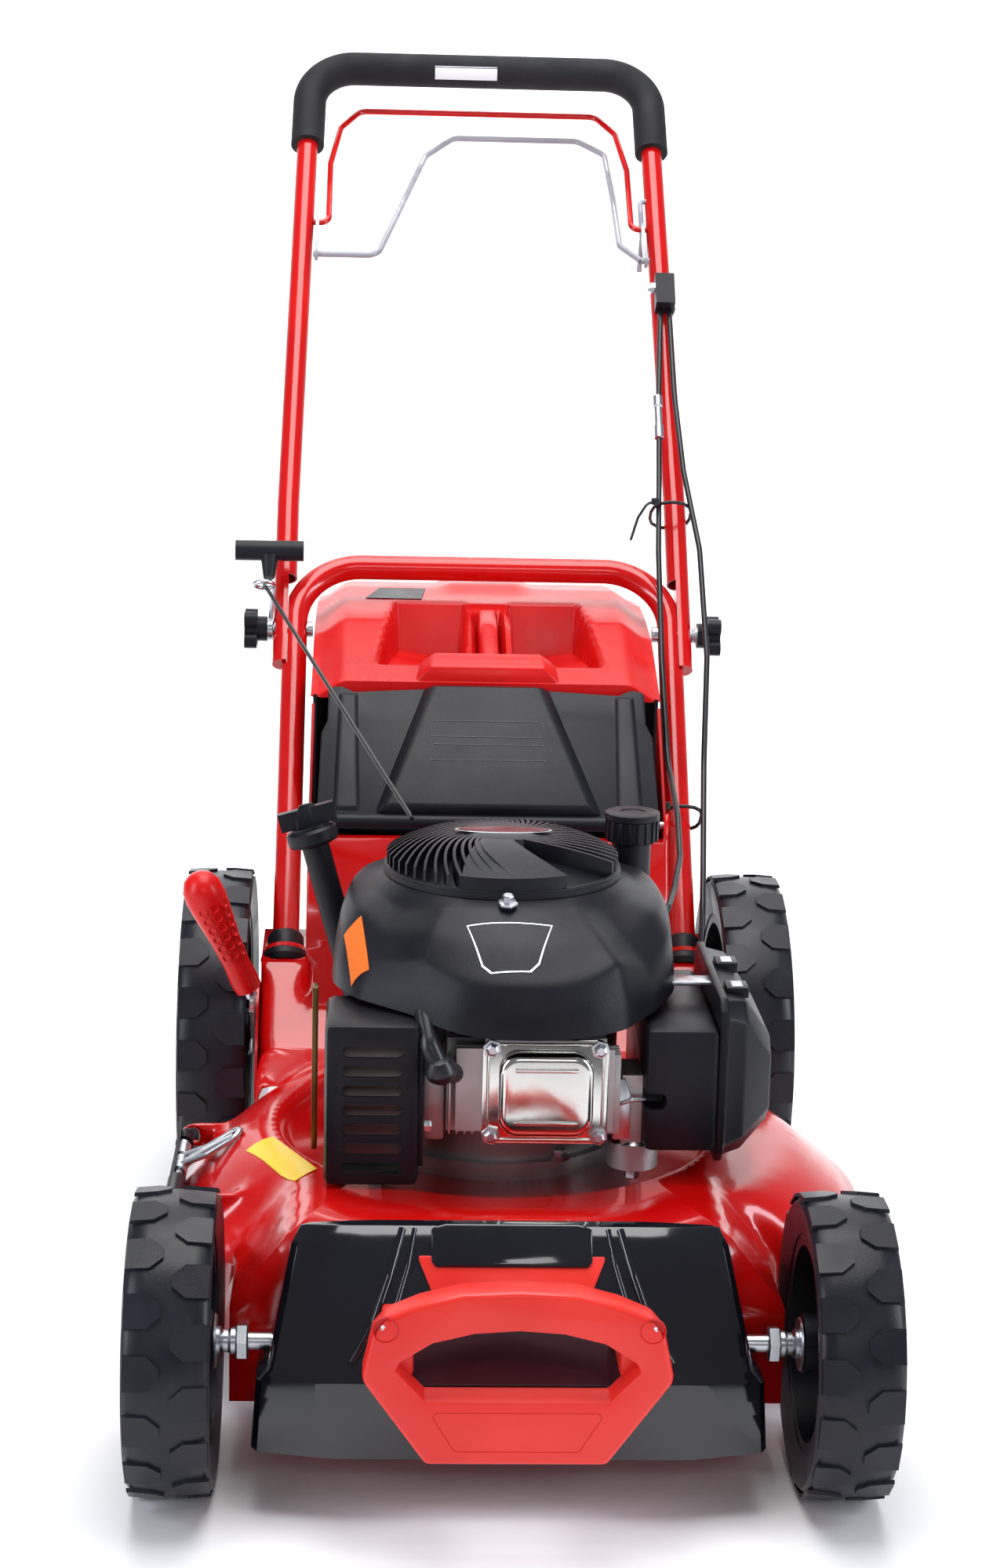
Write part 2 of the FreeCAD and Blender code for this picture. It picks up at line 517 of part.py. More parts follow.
bail_length = size("bail_length")
brake_line = [(size("grip_x") - 2, 0), (145, 0), (145, 92), (136, 150), (117, bail_length)]
brake_line = brake_line + [(-x, reach) for x, reach in reversed(brake_line)]
brake_path = [bail_point(x, reach, "brake_slope") for x, reach in brake_line]
part("brake_bail", coded(swept(brake_path, size("bail_dia"), 14)))
deep = -size("drive_drop")
drive_line = [(-151, deep), (-98, deep), (-52, 128), (-24, size("drive_length")), (100, size("drive_length")),
              (126, 138), (130, 57), (132, -30), (151, deep)]
drive_path = [bail_point(x, reach, "drive_slope") for x, reach in drive_line]
drive_loop = swept(drive_path, size("bail_dia"), 14)
for side in (1, -1):
    low = V(*bail_point(side * 155.5, deep, "drive_slope"))
    high = V(*bail_point(side * 155.5, 0, "drive_slope"))
    ends = [Part.makeCylinder(6.5, 3, spot - V(1.5, 0, 0), V(1, 0, 0)) for spot in (low, high)]
    web = Part.makeBox(3, low.distanceToPoint(high), 11, V(-1.5, 0, -5.5))
    web.Placement = FreeCAD.Placement(low, FreeCAD.Rotation(V(1, 0, 0), size("drive_slope")))
    joint_pin = Part.makeCylinder(size("bail_dia") / 2, 8, low - V(side * 5, 0, 0), V(side, 0, 0))
    drive_loop = drive_loop.fuse(ends[0]).fuse(ends[1]).fuse(web).fuse(joint_pin)
bail_hole = Part.makeCylinder(size("bail_dia") / 2 + 0.1, 20, V(148, bail_pivot.y, bail_pivot.z), V(1, 0, 0))
part("drive_bail", coded(drive_loop.cut(bail_hole).cut(mirrored(bail_hole))))

# cable anchor on the left tube, and the two control cables down to the deck
anchor = along_leg(size("bracket_run"), 172, 19)
anchor_box = Part.makeBox(18, 34, 18, V(-9, -17, -9))
anchor_box.Placement = FreeCAD.Placement(anchor, FreeCAD.Rotation(V(1, 0, 0), size("leg_slope")))
part("cable_bracket", coded(anchor_box))
CABLE_A = [(342, 168, 16), (250, 163, 18), (160, 160, 20), (70, 156, 25), (-40, 155, 26), (-140, 157, 24)]
CABLE_B = [(342, 176, 16), (250, 177, 18), (160, 182, 22), (70, 192, 32), (-40, 194, 32), (-140, 188, 24)]
cable_a = [tuple(along_leg(*spot)) for spot in CABLE_A] + [(157, 262, 346), (154, 206, 324), (144, 150, 312), (133, 100, 306)]
cable_b = [tuple(along_leg(*spot)) for spot in CABLE_B] + [(181, 270, 300), (178, 236, 262), (176, 228, 236)]
part("control_cables", coded(Part.makeCompound([swept(cable_a, 5, 60), swept(cable_b, 5, 60)])))

# ---- cutting gear and crankshaft ------------------------------------------------------------
blade_top = "blade_z+blade_thick"
blade = block(("-blade_length/2", "-blade_width/2", "blade_z"), ("blade_length/2", "blade_width/2", blade_top))
round_ends = cylinder("blade_length", "20", ("0", "0", "blade_z-5"))
wings = [block((x, y, "blade_z+blade_thick-1"), (x + "+60", y + "+12", "blade_z+14"))
         for x, y in (("blade_length/2-68", "-blade_width/2"), ("-blade_length/2+8", "blade_width/2-12"))]
part("blade", cut(common(fuse(blade, *wings), round_ends), cylinder("10", "30", ("0", "0", "blade_z-10"))))
part("blade_bolt", fuse(cylinder("10", "30", ("0", "0", "blade_z")),
                        cylinder("30", "3", ("0", "0", "blade_z-3")),
                        cylinder("17", "7", ("0", "0", "blade_z-10"))))
adapter = turned([("0", blade_top), ("32", blade_top), ("32", blade_top + "+6"), ("20", blade_top + "+6"),
                  ("20", "118"), ("0", "118")])
part("blade_adapter", cut(adapter, cylinder("shaft_dia", "60", ("0", "0", "blade_z+26")),
                          cylinder("10", "60", ("0", "0", "blade_z"))))
part("crankshaft", fuse(cylinder("shaft_dia", "case_high+58-blade_z-30", ("0", "0", "blade_z+30")),
                        cylinder("60", "16", ("0", "0", "206"))))
flywheel_low = "case_high+14"
part("flywheel", cut(fuse(cylinder("flywheel_dia", "10", ("0", "0", flywheel_low)),
                          cylinder("flywheel_dia-36", "26", ("0", "0", flywheel_low))),
                     cylinder("shaft_dia", "70", ("0", "0", "case_high"))))

# ---- engine ---------------------------------------------------------------------------------
base = turned([("0", "plate_high"), ("ring_dia/2", "plate_high"), ("ring_dia/2", "ring_high"),
               ("case_dia/2", "ring_high"), ("case_dia/2", "case_high-10"), ("case_dia/2-10", "case_high"),
               ("0", "case_high")])
barrel = cylinder("62", "76", ("bore_x", "-118", "bore_z-3"), "Y")
fins = [block(("bore_x-68", "%d" % (-117 + 8 * i), "bore_z-36"),
              ("bore_x+44", "%d" % (-114 + 8 * i), "bore_z+32")) for i in range(3)]
oil_boss = block(("-114", "50", "200"), ("-50", "90", "226"))
sump = cylinder("72", "22", ("0", "0", "203"))
shaft_bore = cylinder("shaft_dia+2*run_gap", "case_high", ("0", "0", "100"))
dip_lean = math.radians(size("dip_lean"))
dip_aim = V(-math.sin(dip_lean), 0.05, math.cos(dip_lean)).normalize()
dip_top = V(size("dip_x"), size("dip_y"), size("dip_z"))
dip_length = 158
dip_bore = Part.makeCylinder(size("dip_dia") / 2, dip_length, dip_top - dip_aim * dip_length, dip_aim)
part("crankcase", cut(fuse(base, barrel, oil_boss, *fins), sump, shaft_bore, coded(dip_bore)))
head = fuse(block(("bore_x-42", "-136", "bore_z-38"), ("bore_x+42", "-118", "bore_z+38")),
            *[block(("bore_x-62", "%d" % y, "bore_z-30"), ("bore_x+48", "%d" % (y + 3), "bore_z+30"))
              for y in (-136, -128)])
part("cylinder_head", head)
cover_face = pad("XZ_Plane", [("bore_x-44", "bore_z-38"), ("bore_x+44", "bore_z-38"),
                              ("bore_x+44", "bore_z+38"), ("bore_x-44", "bore_z+38")], "6", "-136")
cover_dome = pad("XZ_Plane", [("bore_x-32", "bore_z-30"), ("bore_x+32", "bore_z-30"),
                              ("bore_x+36", "bore_z-20"), ("bore_x+36", "bore_z+24"),
                              ("bore_x+28", "bore_z+31"), ("bore_x-28", "bore_z+31"),
                              ("bore_x-36", "bore_z+24"), ("bore_x-36", "bore_z-20")], "15", "-140")
part("valve_cover", fuse(cover_face, cover_dome))
part("plug_boot", fuse(cylinder("19", "22", ("-46", "-152", "256"), "Y"),
                       cylinder("15", "26", ("-46", "-146", "253"))))

# exhaust silencer behind a slotted guard on the right front
part("muffler", block(("-116", "-134", "178"), ("-68", "-76", "282")))
guard = cut(pad("XZ_Plane", [("-126", "178"), ("-120", "172"), ("-66", "172"), ("-60", "178"), ("-60", "289"),
                             ("-120", "289"), ("-126", "283")], "78", "-72"),
            block(("-123", "-147", "175"), ("-63", "-30", "286")))
grille = [block(("-112", "-160", "%d" % (184 + 14 * i)), ("-74", "-140", "%d" % (192 + 14 * i)))
          for i in range(7)]
part("muffler_guard", cut(guard, *grille))

# carburettor and air filter housing on the left
carb = fuse(block(("82", "-122", "190"), ("96.5", "-84", "246")), block(("71.5", "-114", "218"), ("82", "-92", "240")),
            cylinder("36", "18", ("92", "-108", "176.5")), cylinder("9", "5", ("92", "-108", "172")))
part("carburettor", carb)
filter_box = cut(block(("97", "-138", "195"), ("cover_x-0.4", "20", "284")),
                 block(("100", "-135", "198"), ("cover_x+1", "17", "281")))
part("air_box", filter_box)
lid_outline = [("cover_x", "-128"), ("cover_x+30", "-120"), ("cover_x+41", "-96"), ("cover_x+41", "4"),
               ("cover_x+34", "26"), ("cover_x", "34")]
cover_body = pad("XY_Plane", lid_outline, "116", "184")
hollow = block(("cover_x-1", "-118", "192"), ("cover_x+30", "24", "292"))
bevel = pad("XZ_Plane", [("cover_x+24", "306"), ("cover_x+50", "276"), ("cover_x+50", "320"), ("cover_x+24", "320")],
            "240", "90")
latches = [block(("cover_x+6", y, "299"), ("cover_x+20", y + "+22", "304")) for y in ("-96", "-20")]
part("air_cover", fuse(cut(cover_body, hollow, bevel), *latches))

# cooling cowl over the engine, open below, with the recoil starter's round seat on top
COWL = [(-48, -165), (92, -165), (118, -118), (127, -52), (127, 82), (104, 128), (60, 148), (-92, 148),
        (-118, 110), (-124, 40), (-126, -60), (-112, -108), (-60, -122)]


def inset(corners, wall):
    """The outline moved inwards by a wall, corner by corner."""
    count = len(corners)
    moved = []
    for i in range(count):
        a, b, c = V(*corners[i - 1], 0), V(*corners[i], 0), V(*corners[(i + 1) % count], 0)
        n1 = V(-(b - a).y, (b - a).x, 0).normalize()
        n2 = V(-(c - b).y, (c - b).x, 0).normalize()
        n = (n1 + n2).normalize()
        spot = b + n * (wall / n.dot(n1))
        moved.append((spot.x, spot.y))
    return moved


cowl_wall = size("cowl_wall")
half_ratio = size("cowl_half") / 127
COWL = [(x * half_ratio, y) for x, y in COWL]
cowl_low, cowl_high = size("cowl_low"), size("cowl_high")
cowl_out = prism(COWL, cowl_low, cowl_high - 14)
cowl_top = prism(inset(COWL, 12), cowl_high - 14, cowl_high)
seat = Part.makeCylinder(size("recoil_dia") / 2 + 5, 8, V(0, 0, cowl_high))
cowl_in = prism(inset(COWL, cowl_wall), cowl_low - 5, cowl_high - 14 - cowl_wall)
cowl_in_top = prism(inset(COWL, 12 + cowl_wall), cowl_high - 18, cowl_high - cowl_wall)
fan_eye = Part.makeCylinder(size("recoil_dia") / 2 - 8, 40, V(0, 0, cowl_high - 20))
neck_clear = Part.makeCylinder(17, 60, V(size("filler_x"), size("filler_y") + 6, cowl_low + 10))
dip_clear = Part.makeCylinder(size("dip_dia") / 2 + 2, 150, dip_top - dip_aim * 150, dip_aim)
cowl = cowl_out.fuse(cowl_top).fuse(seat).cut(cowl_in).cut(cowl_in_top).cut(fan_eye).cut(neck_clear).cut(dip_clear)
part("engine_cowl", coded(cowl))

recoil_low = "cowl_high+8"
rotor = turned([("0", "recoil_top-3"), ("56", "recoil_top-3"), ("recoil_dia/2-12", "recoil_rim+6"),
                ("recoil_dia/2-3", "recoil_rim-3"), ("recoil_dia/2-3", recoil_low), ("recoil_dia/2", recoil_low),
                ("recoil_dia/2", "recoil_rim"), ("recoil_dia/2-10", "recoil_rim+10"), ("58", "recoil_top"),
                ("0", "recoil_top")])
hub_post = cylinder("12", "30", ("0", "0", "recoil_top-31"))
vents = []
for i in range(30):
    angle = 12 * i + 6
    if 240 < angle < 300:
        continue
    slit = Part.makeBox(26, 4, 40, V(57, -2, size("recoil_rim") - 12))
    slit.rotate(V(), V(0, 0, 1), angle)
    vents.append(slit)
rope_gap = Part.makeCylinder(4, 60, V(-30, 25, 380), V(-66, 55, 12))
part("recoil_cover", cut(fuse(rotor, hub_post), coded(Part.makeCompound(vents)), coded(rope_gap)))
part("starter_pulley", cut(cylinder("spool_dia", "14", ("0", "0", "recoil_top-28")),
                           cylinder("12+2*run_gap", "40", ("0", "0", "recoil_top-40"))))

# fuel tank at the rear of the engine, oil filler tube at its right
tank = block(("-60", "80", "268"), ("filler_x", "118", "tank_high-7"))
neck = cylinder("30", "362-tank_high+8", ("filler_x", "filler_y+6", "tank_high-8"))
part("fuel_tank", fuse(tank, neck))
cap_at = ("filler_x", "filler_y+6")
part("fuel_cap", fuse(cylinder("filler_cap_dia", "18", cap_at + ("362",)),
                      cylinder("filler_cap_dia-9", "5", cap_at + ("380",))))
oil_tube = Part.makeCylinder(size("dip_dia") / 2, dip_length, dip_top - dip_aim * dip_length, dip_aim).cut(
    Part.makeCylinder(size("dip_dia") / 2 - 3, dip_length + 2, dip_top - dip_aim * dip_length, dip_aim))
part("oil_tube", coded(oil_tube))
stick = Part.makeCylinder(2, 120, dip_top - dip_aim * 120, dip_aim)
dip_cap = Part.makeCylinder(15, 10, dip_top, dip_aim)
wing = Part.makeBox(43, 10, 14, V(-21.5, -5, 10))
wing.Placement = FreeCAD.Placement(dip_top, FreeCAD.Rotation(V(0, 0, 1), dip_aim))
part("dipstick", coded(stick.fuse(dip_cap).fuse(wing)))

# pull grip parked in its wire eye beside the right knob, with the rope back to the starter
eye = along_leg(30, -193, 25)
rope_start = V(-66, 55, 388)
grip_at = eye + V(4, 0, 6)
pull_aim = V(0, 0.5, 0.866)
pull_stem = Part.makeCone(5, 8, 20, grip_at, pull_aim)
pull_bar = Part.makeCylinder(9, 60, grip_at + pull_aim * 26 - V(30, 0, 0), V(1, 0, 0))
part("pull_grip", coded(pull_stem.fuse(pull_bar)))
rope_dia = size("rope_dia")
rope = Part.makeCylinder(rope_dia / 2, (eye - rope_start).Length, rope_start, eye - rope_start)
part("starter_rope", coded(rope))
eye_ring = Part.makeTorus(9, 2, eye, V(0, 0.45, 0.9))
eye_bend = V(-size("upper_x") - size("upper_dia") / 2 - 2.4, joint.y, joint.z + 9)
eye_root = eye + V(9, 0, 0)
eye_shank = Part.makeCylinder(2, (eye_bend - eye_root).Length, eye_root, eye_bend - eye_root)
eye_washer = Part.makeCylinder(10, 4, V(-size("upper_x") - size("upper_dia") / 2 - 4.4, joint.y, joint.z), V(1, 0, 0))
eye_washer = eye_washer.cut(Part.makeCylinder(4.1, 40, V(-200, joint.y, joint.z), V(1, 0, 0)))
part("rope_eye", coded(eye_ring.fuse(eye_shank).fuse(eye_washer)))

# ---- rear flap and grass box ----------------------------------------------------------------
def flap_plate(half_low, half_high, low, high, reach_low, reach_high):
    """A plate lying on the flap's slope: low and high are its faces above the hinge plane."""
    face = Part.Face(Part.makePolygon([V(-half_low, reach_low, low), V(half_low, reach_low, low),
                                       V(half_high, reach_high, low), V(-half_high, reach_high, low),
                                       V(-half_low, reach_low, low)]))
    plate = face.extrude(V(0, 0, high - low))
    plate.Placement = FreeCAD.Placement(V(0, size("flap_axis_y"), size("flap_axis_z")),
                                        FreeCAD.Rotation(V(1, 0, 0), size("flap_slope")))
    return plate


flap_half = size("flap_half")
flap = flap_plate(flap_half, flap_half - 4, -2, 2, 0, size("flap_length"))
flap = flap.fuse(flap_plate(92, 48, 0, 16, 10, size("flap_length")).cut(
    flap_plate(87, 43, -8, 12, 14, size("flap_length") - 4)))
flap = flap.cut(flap_plate(86, 42, -8, 11, 15, size("flap_length") - 5))
hinge_pin = Part.makeCylinder(3, 2 * size("tunnel_half"), V(-size("tunnel_half"), size("flap_axis_y"),
                                                            size("flap_axis_z")), V(1, 0, 0))
hinge_barrel = Part.makeCylinder(6, 2 * flap_half, V(-flap_half, size("flap_axis_y"), size("flap_axis_z")), V(1, 0, 0))
part("rear_flap", coded(flap.fuse(hinge_pin).fuse(hinge_barrel)))

LID_RUN = [("box_front", "lid_front_z-10"), ("box_front", "lid_front_z"), ("box_front+95", "lid_front_z+38"),
           ("box_front+200", "lid_back_z"), ("box_back-60", "lid_back_z-33"), ("box_back-14", "lid_back_z-45"),
           ("box_back", "lid_back_z-72"), ("box_back", "lid_back_z-90"), ("box_back-80", "lid_back_z-70"),
           ("box_front+90", "lid_back_z-70")]
lid_solid = pad("YZ_Plane", LID_RUN, "2*box_half", "-box_half")
lid_hollow = pad("YZ_Plane", [("box_front+4", "lid_front_z-30"), ("box_front+4", "lid_front_z-4"),
                              ("box_front+95", "lid_front_z+34"), ("box_front+200", "lid_back_z-4"),
                              ("box_back-62", "lid_back_z-37"), ("box_back-18", "lid_back_z-48"),
                              ("box_back-4", "lid_back_z-72"), ("box_back-4", "lid_back_z-110")],
                 "2*box_half-6", "-box_half+3")
recess = [block((x, "box_front+60", "lid_front_z+6"), (x + "+56", "box_front+165", "540")) for x in ("-74", "26")]
bridge = block(("-82", "box_front+52", "lid_front_z+3"), ("90", "box_front+172", "lid_back_z-3"))
lid_shape = fuse(cut(lid_solid, lid_hollow), common(bridge, lid_solid))
part("grass_box_lid", cut(lid_shape, *recess))
BOX_RUN = [("box_front", "box_low+6"), ("box_front", "lid_front_z-10"), ("box_front+90", "lid_back_z-70"),
           ("box_back-80", "lid_back_z-70"), ("box_back", "lid_back_z-90"), ("box_back", "box_low+60"),
           ("box_back-60", "box_low+16"), ("box_front+120", "box_low")]
box_solid = pad("YZ_Plane", BOX_RUN, "2*box_half", "-box_half")
IN_RUN = [("box_front-2", "box_low+10"), ("box_front-2", "lid_front_z+20"), ("box_front+90", "lid_back_z-40"),
          ("box_back-80", "lid_back_z-40"), ("box_back-3", "lid_back_z-60"), ("box_back-3", "box_low+62"),
          ("box_back-62", "box_low+19"), ("box_front+120", "box_low+3")]
box_hollow = pad("YZ_Plane", IN_RUN, "2*box_half-2*box_wall", "-box_half+box_wall")
part("grass_box_body", cut(box_solid, box_hollow))

# ---- checks and export ----------------------------------------------------------------------
doc.recompute()
faults = [thing.Label for thing in doc.Objects if {"Invalid", "Error"} & set(thing.State)]
faults += [name for name, thing in parts.items() if thing.Shape.isNull() or not thing.Shape.isValid()]
if faults:
    raise SystemExit("failed: " + ", ".join(faults))
os.makedirs("parts", exist_ok=True)
for name, thing in parts.items():
    thing.Shape.exportStep("parts/%s.step" % name)
    print("%-18s %9.0f mm3  %d solid(s)" % (name, thing.Shape.Volume, len(thing.Shape.Solids)))
print(len(parts), "nodes")
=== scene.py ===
# %% [markdown]
# # A push lawn mower, built piece by piece
# The mower is already designed as a set of solids: a pressed steel deck on four wheels, a
# small upright engine, a folding handle with two spring bails, and a grass box behind.
# Those solids are the fixed frame of this lesson. We load them once and never move them.
# Everything we add is placed from their sizes, in metres, with +Z up and -Y at the front.

# %% Load the frame and keep its box
import math

import bmesh
import bpy
from mathutils import Matrix, Vector
from mathutils.bvhtree import BVHTree


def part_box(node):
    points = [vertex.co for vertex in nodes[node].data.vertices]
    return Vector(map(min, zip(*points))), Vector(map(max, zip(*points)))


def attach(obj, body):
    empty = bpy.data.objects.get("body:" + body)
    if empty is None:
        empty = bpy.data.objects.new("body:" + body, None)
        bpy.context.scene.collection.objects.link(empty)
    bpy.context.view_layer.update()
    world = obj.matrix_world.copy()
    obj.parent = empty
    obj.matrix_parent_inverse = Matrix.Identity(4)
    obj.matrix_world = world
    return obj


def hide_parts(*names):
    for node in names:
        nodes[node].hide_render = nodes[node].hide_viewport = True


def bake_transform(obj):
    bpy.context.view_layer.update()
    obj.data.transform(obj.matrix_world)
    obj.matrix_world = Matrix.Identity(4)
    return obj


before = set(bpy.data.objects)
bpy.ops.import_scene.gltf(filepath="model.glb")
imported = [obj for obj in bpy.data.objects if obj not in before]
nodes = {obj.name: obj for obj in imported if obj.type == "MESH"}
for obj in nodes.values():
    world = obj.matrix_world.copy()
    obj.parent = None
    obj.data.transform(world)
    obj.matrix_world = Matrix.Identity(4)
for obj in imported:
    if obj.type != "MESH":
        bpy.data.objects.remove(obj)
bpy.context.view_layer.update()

# %% [markdown]
# ## Camera, floor and light
# A studio picture of a machine this glossy is mostly a picture of its surroundings. Large
# soft panels give long clean highlights on the enamel, and a pale floor with a pale backdrop
# fills the underside. The camera stands a little above the bonnet and looks slightly down.
# Its axes are written out as a rotation matrix, which is the surest way to repeat a view.

# %% Camera
def camera_axes(yaw, pitch, roll):
    """Right, up and backward vectors of a camera turned by these angles in degrees."""
    yaw, pitch, roll = (math.radians(a) for a in (yaw, pitch, roll))
    ahead = Vector((math.sin(yaw) * math.cos(pitch), math.cos(yaw) * math.cos(pitch), -math.sin(pitch)))
    right = Vector((math.cos(yaw), -math.sin(yaw), 0))
    up = right.cross(ahead)
    turned_right = right * math.cos(roll) + up * math.sin(roll)
    turned_up = up * math.cos(roll) - right * math.sin(roll)
    return turned_right, turned_up, -ahead


camera_data = bpy.data.cameras.new("studio_camera")
camera_data.lens = 64.19
camera_data.clip_start = 0.05
camera = bpy.data.objects.new("studio_camera", camera_data)
right, up, back = camera_axes(2.616, 12.228, 1.373)
camera_turn = Matrix((right, up, back)).transposed().to_4x4()
camera.matrix_world = Matrix.Translation((-0.0964, -1.9868, 0.8581)) @ camera_turn
bpy.context.scene.collection.objects.link(camera)
bpy.context.scene.camera = camera
print("camera at", tuple(round(v, 3) for v in camera.matrix_world.translation))


# %% Floor and backdrop as one swept sheet
def backdrop(width, front, back, top, bend, steps=16):
    """A floor that curls up into a wall, so that no horizon line shows."""
    line = [(front, 0.0), (back - bend, 0.0)]
    line += [(back - bend + bend * math.sin(a), bend - bend * math.cos(a))
             for a in (math.pi / 2 * k / steps for k in range(1, steps))]
    line += [(back, bend), (back, top)]
    mesh = bpy.data.meshes.new("backdrop")
    verts = [(x, y, z) for y, z in line for x in (-width / 2, width / 2)]
    faces = [(2 * k, 2 * k + 1, 2 * k + 3, 2 * k + 2) for k in range(len(line) - 1)]
    mesh.from_pydata(verts, [], faces)
    mesh.shade_smooth()
    sheet = bpy.data.objects.new("backdrop", mesh)
    bpy.context.scene.collection.objects.link(sheet)
    return sheet


floor = backdrop(14.0, -6.0, 5.0, 6.0, 2.0)
paper = bpy.data.materials.new("studio_paper")
paper.use_nodes = True
paper_shader = paper.node_tree.nodes["Principled BSDF"]
paper_shader.inputs["Base Color"].default_value = (0.96, 0.96, 0.96, 1)
paper_shader.inputs["Roughness"].default_value = 0.75
floor.data.materials.append(paper)
print("backdrop faces", len(floor.data.polygons))


# %% Soft studio panels
def panel(name, at, aim, wide, high, watts, tint=(1, 1, 1)):
    """A rectangular soft light that faces a point."""
    lamp = bpy.data.lights.new(name, "AREA")
    lamp.shape = "RECTANGLE"
    lamp.size, lamp.size_y, lamp.energy, lamp.color = wide, high, watts, tint
    holder = bpy.data.objects.new(name, lamp)
    holder.matrix_world = (Matrix.Translation(at)
                           @ (Vector(aim) - Vector(at)).to_track_quat("-Z", "Y").to_matrix().to_4x4())
    bpy.context.scene.collection.objects.link(holder)
    return holder


panel("overhead", (0.0, 0.1, 2.6), (0, 0, 0.3), 1.6, 2.0, 58)
panel("left_box", (-2.3, -1.1, 1.2), (0, 0, 0.4), 0.6, 2.0, 40, (0.86, 0.90, 1.0))
panel("right_box", (2.3, -1.0, 1.2), (0, 0, 0.4), 0.6, 2.0, 40, (0.86, 0.90, 1.0))
panel("front_box", (0.2, -3.4, 1.9), (0, 0, 0.3), 1.0, 0.5, 8)
panel("wall_wash", (0.0, 2.4, 3.8), (0, 5.0, 1.6), 4.0, 0.8, 210)
world = bpy.data.worlds.new("studio_air")
world.use_nodes = True
world.node_tree.nodes["Background"].inputs["Color"].default_value = (0.90, 0.92, 1.0, 1)
world.node_tree.nodes["Background"].inputs["Strength"].default_value = 0.20
bpy.context.scene.world = world
bpy.context.scene.view_settings.view_transform = "Standard"

# %% [markdown]
# ## Finishes
# Every finish is a small node network on one Principled shader. Three things make paint,
# plastic and metal look real at this size: the colour drifts a little over the surface, the
# roughness drifts too, and a fine grain bends the highlight. All three read the object's own
# coordinates in metres, so a scale of 400 means grains two or three millimetres apart.
# Values that are the same everywhere, such as the clear coat, sit on the shader itself.

# %% A finish from colour drift, roughness drift and grain
finishes = {}


def finish(name, dark, light, rough, grain, metallic=0.0, coat=0.0, drift=9.0, stretch=(1, 1, 1),
           sheen=0.5):
    """A material. rough is (low, high); grain is (kind, scale, strength, depth in metres)."""
    made = bpy.data.materials.new(name)
    made.use_nodes = True
    tree = made.node_tree
    shader = tree.nodes["Principled BSDF"]
    shader.inputs["Metallic"].default_value = metallic
    shader.inputs["Coat Weight"].default_value = coat
    shader.inputs["Coat Roughness"].default_value = 0.06
    shader.inputs["Specular IOR Level"].default_value = sheen
    place = tree.nodes.new("ShaderNodeTexCoord")
    mapping = tree.nodes.new("ShaderNodeMapping")
    mapping.inputs["Scale"].default_value = stretch
    tree.links.new(place.outputs["Object"], mapping.inputs["Vector"])

    def noise(scale, detail):
        texture = tree.nodes.new("ShaderNodeTexNoise")
        texture.inputs["Scale"].default_value = scale
        texture.inputs["Detail"].default_value = detail
        tree.links.new(mapping.outputs["Vector"], texture.inputs["Vector"])
        return texture.outputs["Fac"]

    ramp = tree.nodes.new("ShaderNodeValToRGB")
    ramp.color_ramp.elements[0].color = (*dark, 1)
    ramp.color_ramp.elements[0].position = 0.35
    ramp.color_ramp.elements[1].color = (*light, 1)
    ramp.color_ramp.elements[1].position = 0.65
    tree.links.new(noise(drift, 3.0), ramp.inputs["Fac"])
    tree.links.new(ramp.outputs["Color"], shader.inputs["Base Color"])
    spread = tree.nodes.new("ShaderNodeMapRange")
    spread.inputs["From Min"].default_value = 0.3
    spread.inputs["From Max"].default_value = 0.7
    spread.inputs["To Min"].default_value = rough[0]
    spread.inputs["To Max"].default_value = rough[1]
    tree.links.new(noise(drift * 4, 4.0), spread.inputs["Value"])
    tree.links.new(spread.outputs["Result"], shader.inputs["Roughness"])
    kind, scale, strength, depth = grain
    bump = tree.nodes.new("ShaderNodeBump")
    bump.inputs["Strength"].default_value = strength
    bump.inputs["Distance"].default_value = depth
    if kind == "cells":
        texture = tree.nodes.new("ShaderNodeTexVoronoi")
        texture.inputs["Scale"].default_value = scale
        tree.links.new(mapping.outputs["Vector"], texture.inputs["Vector"])
        tree.links.new(texture.outputs["Distance"], bump.inputs["Height"])
    else:
        tree.links.new(noise(scale, 2.0), bump.inputs["Height"])
    tree.links.new(bump.outputs["Normal"], shader.inputs["Normal"])
    finishes[name] = made
    return made


finish("red_enamel", (0.50, 0.002, 0.002), (0.60, 0.004, 0.003), (0.14, 0.22), ("noise", 260, 0.12, 0.0003),
       coat=0.25)
finish("red_plastic", (0.54, 0.003, 0.003), (0.64, 0.006, 0.005), (0.26, 0.34),
       ("cells", 1500, 0.10, 0.0002), sheen=0.3)
finish("orange_plastic", (0.72, 0.016, 0.010), (0.82, 0.026, 0.014), (0.32, 0.40),
       ("cells", 1500, 0.10, 0.0002))
finish("black_moulding", (0.006, 0.006, 0.009), (0.011, 0.011, 0.016), (0.30, 0.40),
       ("cells", 1900, 0.30, 0.0003), sheen=0.22)
finish("gloss_black", (0.004, 0.004, 0.007), (0.008, 0.008, 0.013), (0.07, 0.13),
       ("noise", 120, 0.06, 0.0003), coat=0.5)
finish("tyre_rubber", (0.007, 0.007, 0.012), (0.013, 0.013, 0.021), (0.30, 0.44),
       ("noise", 900, 0.30, 0.0003), sheen=0.32)
finish("foam", (0.006, 0.006, 0.008), (0.010, 0.010, 0.013), (0.60, 0.75), ("cells", 1300, 0.45, 0.0004),
       sheen=0.3)
finish("zinc_steel", (0.50, 0.52, 0.56), (0.68, 0.70, 0.74), (0.22, 0.36), ("noise", 700, 0.15, 0.0002),
       metallic=1.0)
finish("grey_wire", (0.28, 0.28, 0.31), (0.36, 0.36, 0.40), (0.25, 0.35), ("noise", 500, 0.12, 0.0002),
       coat=0.3)
